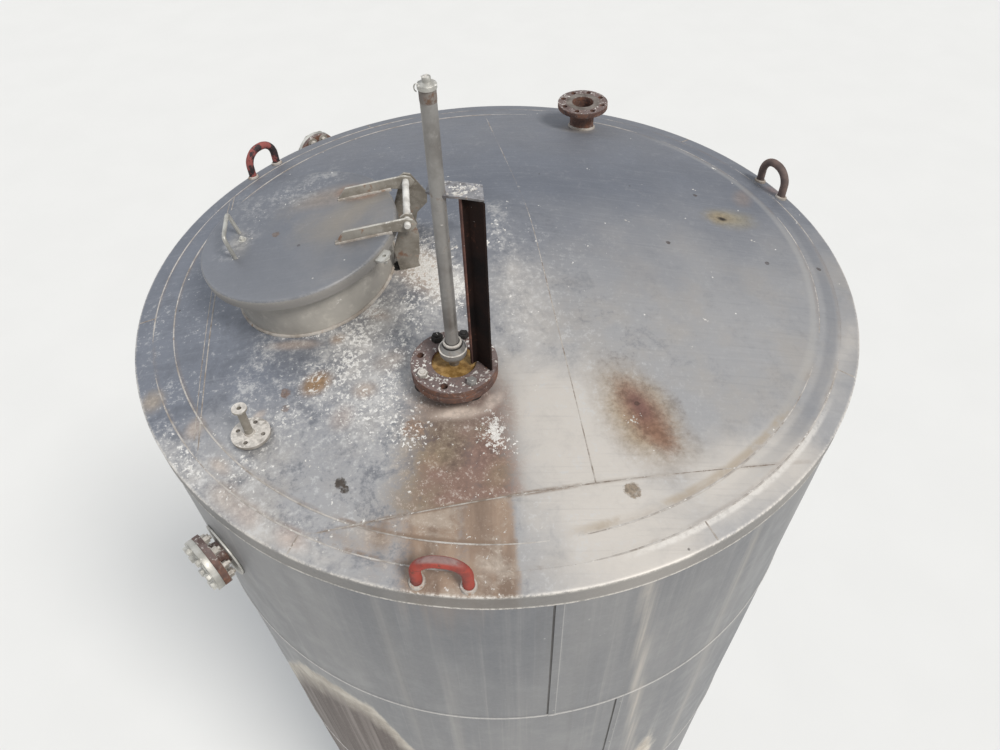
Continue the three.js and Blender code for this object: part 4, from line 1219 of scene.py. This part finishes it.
def manway():
    build("manway_neck_plate", ring(0.242, -0.035, 0.250, LID_TOP - LID_T - 0.0004, 0.0012, 2, 160), "neck",
          nodes=["manway_neck"], matrix=MANWAY)
    build("manway_neck_weld", foot_bead(MANWAY, 0.2515, 160, 0.011, 0.006, seed=3), "weld")
    manway_lid()
    strap_low, strap_top = LID_TOP + 0.0003, LID_TOP + 0.034
    strap = [(0.118, strap_low), (LID_R - 0.008, strap_low), (PIN_X - 0.016, PIN_Z - 0.024),
             (PIN_X + 0.010, PIN_Z - 0.024), (PIN_X + 0.026, PIN_Z - 0.008), (PIN_X + 0.018, PIN_Z + 0.010),
             (PIN_X, strap_top), (0.152, strap_top)]
    upright = HINGE @ tip(90)

    def pin_hole(r):
        return drill(PIN_X, PIN_Z, r, -0.4, 0.4, upright, 32)

    for label, y in STRAP.items():
        build(f"manway_strap_bar_{label}", prism(strap, -y - 0.004, -y + 0.004), "strap", "manway_lid",
              [f"manway_strap_{label}"], upright, bevel=0.0012, holes=[pin_hole(PIN_R + 0.0008)])
        feet = [bead([HINGE @ Vector((x, y + way * 0.0045, LID_TOP - 0.0003)) for x in (0.12, 0.20, 0.285)],
                     0.007, 0.006, seed=y + way) for way in (-1, 1)]
        build(f"manway_strap_weld_{label}", joined(*feet), "weld", "manway_lid")
    for label, (y, tail) in LUG_PLATE.items():
        outline = [(0.262, -0.08), (0.326, -0.08), (0.326, 0.03), (0.338, 0.06), (tail - 0.008, 0.088),
                   (tail, 0.12), (PIN_X + 0.018, PIN_Z + 0.012), (PIN_X, PIN_Z + 0.019),
                   (PIN_X - 0.018, PIN_Z + 0.010), (PIN_X - 0.028, PIN_Z - 0.024), (0.268, 0.09)]
        build(f"manway_lug_plate_{label}", prism(outline, -y - 0.004, -y + 0.004), "hinge_plate",
              nodes=[f"manway_lug_{label}"], matrix=upright, bevel=0.0012, holes=[pin_hole(PIN_R + 0.0003)])
    start, end, steps = -0.114, 0.1422, 60
    lumpy = [(0, start)]
    for i in range(steps + 1):
        z = start + (end - start) * i / steps
        lump = 0.0024 * max(0.0, wave((0, 0, z), 60, 5.0)) if -0.070 < z < 0.105 else 0.0
        lumpy.append((PIN_R - 0.0002 + lump - 0.002 * (i in (0, steps)), z))
    build("manway_hinge_pin", revolve(lumpy + [(0, end)], 32), "deposit", nodes=["manway_pin"],
          matrix=HINGE @ at(PIN_X, 0, PIN_Z) @ tip(-90))

    turned = HINGE @ at(turn=-35)
    half = [(0.2965, -0.024), (0.318, -0.024), (0.324, -0.018)]
    ear = half + [(x, -y) for x, y in half[::-1]]
    build("manway_ear_plate", prism(ear, 0.148, 0.155), "bright", "manway_lid", ["manway_ear"], turned,
          bevel=0.001, holes=[drill(0.314, 0, 0.0055, 0.1, 0.2, turned)])
    nut = moved(bolt(0.017, 0.009, 0.010, turn=0.3), upside_down(turned @ at(0.311, 0, 0.1478)))
    build("manway_ear_nut", nut, "bright", "manway_lid")

    grip, foot = LID_TOP + 0.075, LID_TOP - 0.001
    path = bend([(-0.184, 0.052, foot), (-0.188, 0.049, grip), (-0.182, -0.068, grip),
                 (-0.181, -0.068, foot)], 0.016, 8)
    build("manway_handle_bar", sweep(path, 0.006, 16), "bright", "manway_lid", ["manway_handle"], HINGE)
    groups = ((-0.184, 0.052, 5, 0.008), (-0.181, -0.068, 9, 0.010), (-0.165, 0.018, 9, 0.010),
              (-0.155, 0.10, 10, 0.05), (-0.02, 0.22, 18, 0.05), (-0.10, 0.19, 14, 0.05))
    part = crumbs(HINGE, LID_TOP - 0.0012, 0.0005, 0.1, 0.0055, groups, lambda u, v: math.hypot(u, v) < 0.28)
    build("lid_splashes", part, "deposit", "manway_lid", smooth=60)
    stub = moved(bolt(0.013, 0.008, 0.004, turn=0.5), HINGE @ at(-0.170, 0.014, foot))
    build("lid_stud", stub, "bright", "manway_lid")


def upside_down(matrix):
    return matrix @ tip(180)


def bolt_places(circle, count, turn):
    return [polar(circle, turn + 360 * i / count) for i in range(count)]


def flange(bore, outer, z0, z1):
    return ring(bore, z0, outer, z1, 0.0015, 2, 96)


manway()
build("roof_loose_bolt", bolt(0.018, 0.010, 0.006, turn=0.7), "nut",
      matrix=on_roof(-0.292, -0.155) @ at(z=-0.003))


def pipe_flanges(bolts):
    """The nozzle with its flange, the gasket, and the ring on top that holds water."""
    def holes(z0):
        return [drill(x, y, 0.010, z0, 0.1, PIPE) for x, y in bolts]

    build("pipe_nozzle_flange", flange(0.051, FLANGE_R, 0.028, 0.0475), "rusty", nodes=["pipe_nozzle"],
          matrix=PIPE, holes=holes(0.0))
    build("pipe_nozzle_neck", ring(0.051, -0.03, 0.057, 0.029, 0.0008), "neck", matrix=PIPE)
    build("pipe_nozzle_weld", foot_bead(PIPE, 0.0585, 64, 0.012, 0.008, seed=8), "weld")
    build("pipe_gasket", ring(0.052, 0.0476, 0.110, 0.0484, 0.0002, 1, 96), "nut", matrix=PIPE)
    basin = [(0.0, 0.0485), (FLANGE_R, 0.0485), (FLANGE_R, FLANGE_TOP), (0.060, FLANGE_TOP), (0.060, 0.0563),
             (0.0, 0.0563)]
    build("pipe_blind_ring", revolve(rounded(basin, 0.0014, 2), 96), "rusty", nodes=["pipe_flange"],
          matrix=PIPE, holes=holes(0.04))


def pipe_stem():
    """The union, the thin pipe on it and the pipe's cap."""
    foot = 0.0566
    top = CAP_TOP - (PIPE.translation.z - RIM_Z)

    def turned(name, rows, mat, sides, base=foot, nodes=(), corner=0.0, steps=2):
        profile = [(r, base + z) for r, z in rows]
        profile = rounded(profile, corner, steps) if corner else profile
        build(name, revolve(profile, sides), mat, nodes=nodes, matrix=PIPE)

    turned("pipe_union_body", [
        (0, 0), (0.0135, 0), (0.0135, 0.018), (0.0165, 0.020), (0.021, 0.026), (0.030, 0.034),
        (0.0355, 0.044), (0.036, 0.050), (0.036, 0.057), (0.0345, 0.060), (0.0325, 0.061), (0.0265, 0.074),
        (0.0235, 0.082), (0.0215, 0.084), (0.0195, 0.083), (0.0195, 0.076), (0, 0.076)],
        "stem", 72, nodes=["pipe_union"], corner=0.0012)
    build("pipe_stem_tube", ring(0, foot + 0.0763, STEM_R, top - 0.014, 0.001, 1, 48), "stem",
          nodes=["pipe_stem"], matrix=PIPE)
    turned("pipe_cap_knob", [(0, -0.0137), (0.0195, -0.0137), (0.0195, -0.004), (0.009, 0), (0.009, 0.0098),
                             (0, 0.0098)], "bright", 48, top, ["pipe_cap"], 0.0015)
    lip = [(0.0352, 0.0585), (0.0372, 0.0590), (0.0372, 0.0612), (0.0340, 0.0622), (0.0330, 0.0606)]
    collar = [(0.0200, 0.0795), (0.0247, 0.0800), (0.0247, 0.0835), (0.0225, 0.0855), (0.0195, 0.0850)]
    rings = [revolve([(r, foot + z) for r, z in rows], sides) for rows, sides in ((lip, 72), (collar, 60))]
    build("pipe_union_rings", joined(*rings), "pale", matrix=PIPE)
    turned("pipe_stem_scale", [(0.0171, -0.040), (0.0176, -0.036), (0.0176, -0.0139), (0.0171, -0.0139)],
           "grime", 40, top)
    turned("pipe_union_dirt", [(0.0255, 0.0752), (0.0270, 0.0745), (0.0258, 0.0785), (0.0230, 0.0790)],
           "nut", 60)
    crust = []
    for _ in range(70):
        a, z = rng.uniform(0, 360), top + rng.choice((-0.0045, -0.0045, 0.0095))
        r = rng.uniform(0.012, 0.0188) if z < top else rng.uniform(0.0, 0.0075)
        crust.append(moved(flake(0, 0, rng.uniform(0.001, 0.0034), 0.0022, 0.0), PIPE @ at(*polar(r, a), z)))
    build("pipe_cap_crust", joined(*crust), "deposit", smooth=60)
    loop = [Vector((-0.0205 - 0.0045 * math.sin(t), 0.0, top - 0.012 + 0.0075 * math.cos(t)))
            for t in np.linspace(0, math.pi, 14)]
    build("pipe_cap_loop", sweep(loop, 0.0013, 8), "bright", matrix=PIPE)


def pipe_bolts(bolts):
    """The bolts that are left in the flange, and the crust round them."""
    def on_flange(i, *size, turn):
        return moved(bolt(*size, False, turn), PIPE @ at(*bolts[i], FLANGE_TOP))

    build("pipe_bolt_clean", on_flange(6, 0.024, 0.012, 0.003, turn=0.4), "stem")
    dark = [on_flange(2, 0.028, 0.016, 0.006, turn=0.2), on_flange(1, 0.026, 0.013, 0.004, turn=0.9)]
    dark += [moved(bolt(0.026, 0.013, 0.005, turn=i), upside_down(PIPE @ at(*bolts[i], 0.028)))
             for i in (1, 2, 4, 6)]
    build("pipe_bolts_dark", joined(*dark), "nut")
    build("pipe_bolt_crusted", on_flange(4, 0.025, 0.010, 0.003, turn=1.2), "pale")
    groups = ((*bolts[4], 34, 0.013), (*bolts[6], 12, 0.016), (*bolts[1], 20, 0.014),
              (*polar(0.094, 190), 14, 0.012), (*polar(0.098, 250), 16, 0.016),
              (*polar(0.090, 62), 14, 0.012))

    def on_ring(u, v):
        near = min(math.hypot(u - a, v - b) for a, b in (bolts[3], bolts[5]))
        return 0.066 < math.hypot(u, v) < 0.109 and near > 0.015

    part = crumbs(PIPE, 0.0682, 0.0006, 0.15, 0.006, groups, on_ring)
    build("pipe_flange_crust", part, "deposit", smooth=60)


def standpipe():
    bolts = bolt_places(0.093, 8, 30)
    pipe_flanges(bolts)
    pipe_stem()
    pipe_bolts(bolts)
    water = revolve([(0, 0.0565), (0.0599, 0.0565), (0.0599, 0.0600), (0, 0.0600)], 48)
    build("pipe_ring_water", water, "water", matrix=PIPE)

    low, high = 0.0686, BRACKET_Z - (PIPE.translation.z - RIM_Z)
    section = [(0, -0.018), (0.006, -0.018), (0.006, -0.004), (0.0072, -0.0012), (0.010, 0), (0.058, 0),
               (0.058, 0.006), (0, 0.006)]
    # the angle bar's near-black colour is a painted shade
    build("angle_bar", prism(section, low, high), "angle", nodes=["angle_upright"], matrix=ANGLE,
          bevel=0.0008)
    lip = prism([(-0.0006, -0.0186), (0.0066, -0.0186), (0.0066, -0.0150), (-0.0006, -0.0150)], low, high)
    build("angle_lip_edge", lip, "lip", matrix=ANGLE, bevel=0.0005)
    corners = [(0, -0.012), (0.060, -0.024), (0.099, -0.037), (0.096, 0.023), (0.050, 0.036), (0, 0.046),
               (-0.022, 0.032), (-0.026, 0.004)]
    build("bracket_plate", prism(corners, high + 0.0003, high + 0.0063), "bracket", nodes=["pipe_bracket"],
          matrix=PIPE, bevel=0.0010, holes=[drill(0, 0, STEM_R + 0.0003, high - 0.05, high + 0.05, PIPE, 32)])
    drops = []
    for _ in range(46):
        u, v = rng.uniform(-0.015, 0.092), rng.uniform(-0.018, 0.030)
        if math.hypot(u, v) > 0.024:
            size = rng.uniform(0.0012, 0.0065) * rng.random()
            drops.append(moved(flake(0, 0, 0.001 + size, 0.0008, 0.0), PIPE @ at(u, v, high + 0.0062)))
    build("bracket_splashes", joined(*drops), "deposit", smooth=60)


standpipe()


def vent():
    build("vent_flange", ring(0, 0.012, 0.052, 0.022, 0.0012, 2), "pale", nodes=["vent_nozzle"], matrix=VENT,
          holes=[drill(x, y, 0.006, 0.0, 0.05, VENT) for x, y in bolt_places(0.035, 4, -10)])
    neck = revolve([(0, -0.03), (0.024, -0.03), (0.024, 0.0125), (0, 0.0125)], 40)
    build("vent_neck", neck, "neck", matrix=VENT)
    foot, beside = 0.0223, VENT @ at(-0.003)
    tube = [(0.006, 0.059), (0.006, 0.099), (0.020, 0.099), (0.020, 0.093), (0.011, 0.0915), (0.011, 0),
            (0, 0), (0, 0.059)]
    tube = rounded([(r, foot + z) for r, z in tube], 0.0008, 1)
    build("vent_tube", revolve(tube, 40), "strap", nodes=["vent_stem"], matrix=beside)
    face = ring(0.0062, foot + 0.0991, 0.0196, foot + 0.0996, 0.0002, 1, 40)
    build("vent_top_face", face, "pale", matrix=beside)
    collar = bead([VENT @ Vector((-0.003 + 0.012 * math.cos(t), 0.012 * math.sin(t), 0.0225))
                   for t in np.linspace(0, TAU, 25)], 0.005, 0.004, 0.003, True, 7)
    build("vent_welds", joined(foot_bead(VENT, 0.0255, 40, 0.008, 0.005, seed=5), collar), "weld")


vent()


def rear():
    build("rear_flange", flange(0.042, 0.099, 0.084, 0.104), "rusty", nodes=["rear_nozzle"], matrix=REAR,
          holes=[drill(x, y, 0.010, 0.06, 0.14, REAR) for x, y in bolt_places(0.080, 8, 22.5)])
    build("rear_gasket_mark", ring(0.0435, 0.1036, 0.066, 0.1046, 0.0002, 1, 96), "grime", matrix=REAR)
    build("rear_neck", ring(0.042, -0.03, 0.048, 0.085, 0.0008), "rusty", matrix=REAR)
    build("rear_weld", foot_bead(REAR, 0.0495, 64, 0.010, 0.007, seed=6), "weld")


rear()


def side_nozzle(label, matrix, reach, neck_r, thick, collar_r):
    """A neck through the cladding with a blind cover bolted to its flange."""
    face, inner, flange_r = CLAD_R + reach, neck_r - 0.005, 0.085
    build(f"side_{label}_flange", flange(inner, flange_r, face - thick, face), "rusty",
          nodes=[f"side_nozzle_{label}"], matrix=matrix)
    build(f"side_{label}_neck", ring(inner, 1.074, neck_r, face - 0.001, 0.0008), "rusty", matrix=matrix)
    if collar_r:
        verts, faces = ring(neck_r + 0.0002, 0, collar_r, 0.006, 0.0015, 2, 72)
        bent = [(x, y, math.sqrt((CLAD_R + 0.0003) ** 2 - y * y) + z) for x, y, z in verts]
        build(f"side_{label}_collar", (bent, faces), "bright", matrix=matrix)
    build(f"side_{label}_cover", flange(0, flange_r, face + 0.0003, face + thick), "bright",
          nodes=[f"side_nozzle_{label}_blind"], matrix=matrix)
    heads, nuts = [], []
    for x, y in bolt_places(flange_r * 0.78, 8, 22.5):
        heads.append(moved(bolt(0.021, 0.012, turn=x * 50), matrix @ at(x, y, face + thick)))
        back = upside_down(matrix @ at(x, y, face - thick))
        nuts.append(moved(bolt(0.021, 0.014, 0.008, turn=y * 50), back))
    build(f"side_{label}_heads", joined(*heads), "bright")
    build(f"side_{label}_nuts", joined(*nuts), "pale")


side_nozzle("front", SIDE_FRONT, 0.056, 0.038, 0.020, 0.090)
side_nozzle("back", SIDE_BACK, 0.086, 0.034, 0.018, 0)


def lifting_lug(index, matrix, mat):
    """A bent bar with a flat top, on two feet."""
    ground = SLOPE * (RIM_R - LUG_R)
    bar, arch, flat, foot_y = 0.014, 0.056, 0.005, 0.061
    top = ground + 0.116 - bar
    quarter = np.linspace(0, math.pi / 2, 12)
    path = [Vector((0, -foot_y, ground - 0.004))]
    path += [Vector((0, -flat - arch * math.cos(t), top - arch + arch * math.sin(t))) for t in quarter]
    path += [Vector((0, flat + arch * math.sin(t), top - arch + arch * math.cos(t))) for t in quarter]
    path = subdivided(path + [Vector((0, foot_y, ground - 0.004))], 0.008)
    radii = [bar * (1 + 0.03 * wave(p, 60, index)) for p in path]
    build(f"lug_bar_{index}", sweep(path, radii, 24), mat, nodes=[f"lifting_lug_{index}"], matrix=matrix)
    feet = [foot_bead(matrix @ at(0, y), 0.0155, 36, 0.011, 0.009, 0.004, index + y)
            for y in (-foot_y, foot_y)]
    build(f"lug_welds_{index}", joined(*feet), "weld")


for i, (matrix, mat) in enumerate(zip(LUGS, ("lug_red", "lug_brown", "lug_dark"))):
    lifting_lug(i + 1, matrix, mat)

# the CAD's own nodes that no piece replaces: the floor plate and the walls behind the cladding
for name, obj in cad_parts.items():
    obj.data.materials.clear()
    obj.data.materials.append(MATS["shell" if name.split("_")[0] in ("floor", "wall") else "neck"])


def stage_floor():
    s = Shade("studio_floor")
    tone = s.layers((0.715, 0.715, 0.705), (s.noise(0.6, 3, 0.5), 0.3, 0.7, 1, (0.727, 0.727, 0.717)))
    mesh = bpy.data.meshes.new("studio_floor")
    corners = [(x, y, -0.001) for x, y in ((-60, -60), (60, -60), (60, 60), (-60, 60))]
    mesh.from_pydata(corners, [], [(0, 1, 2, 3)])
    mesh.materials.append(s.finish(tone, 0.9))
    link("studio_floor", mesh)


stage_floor()
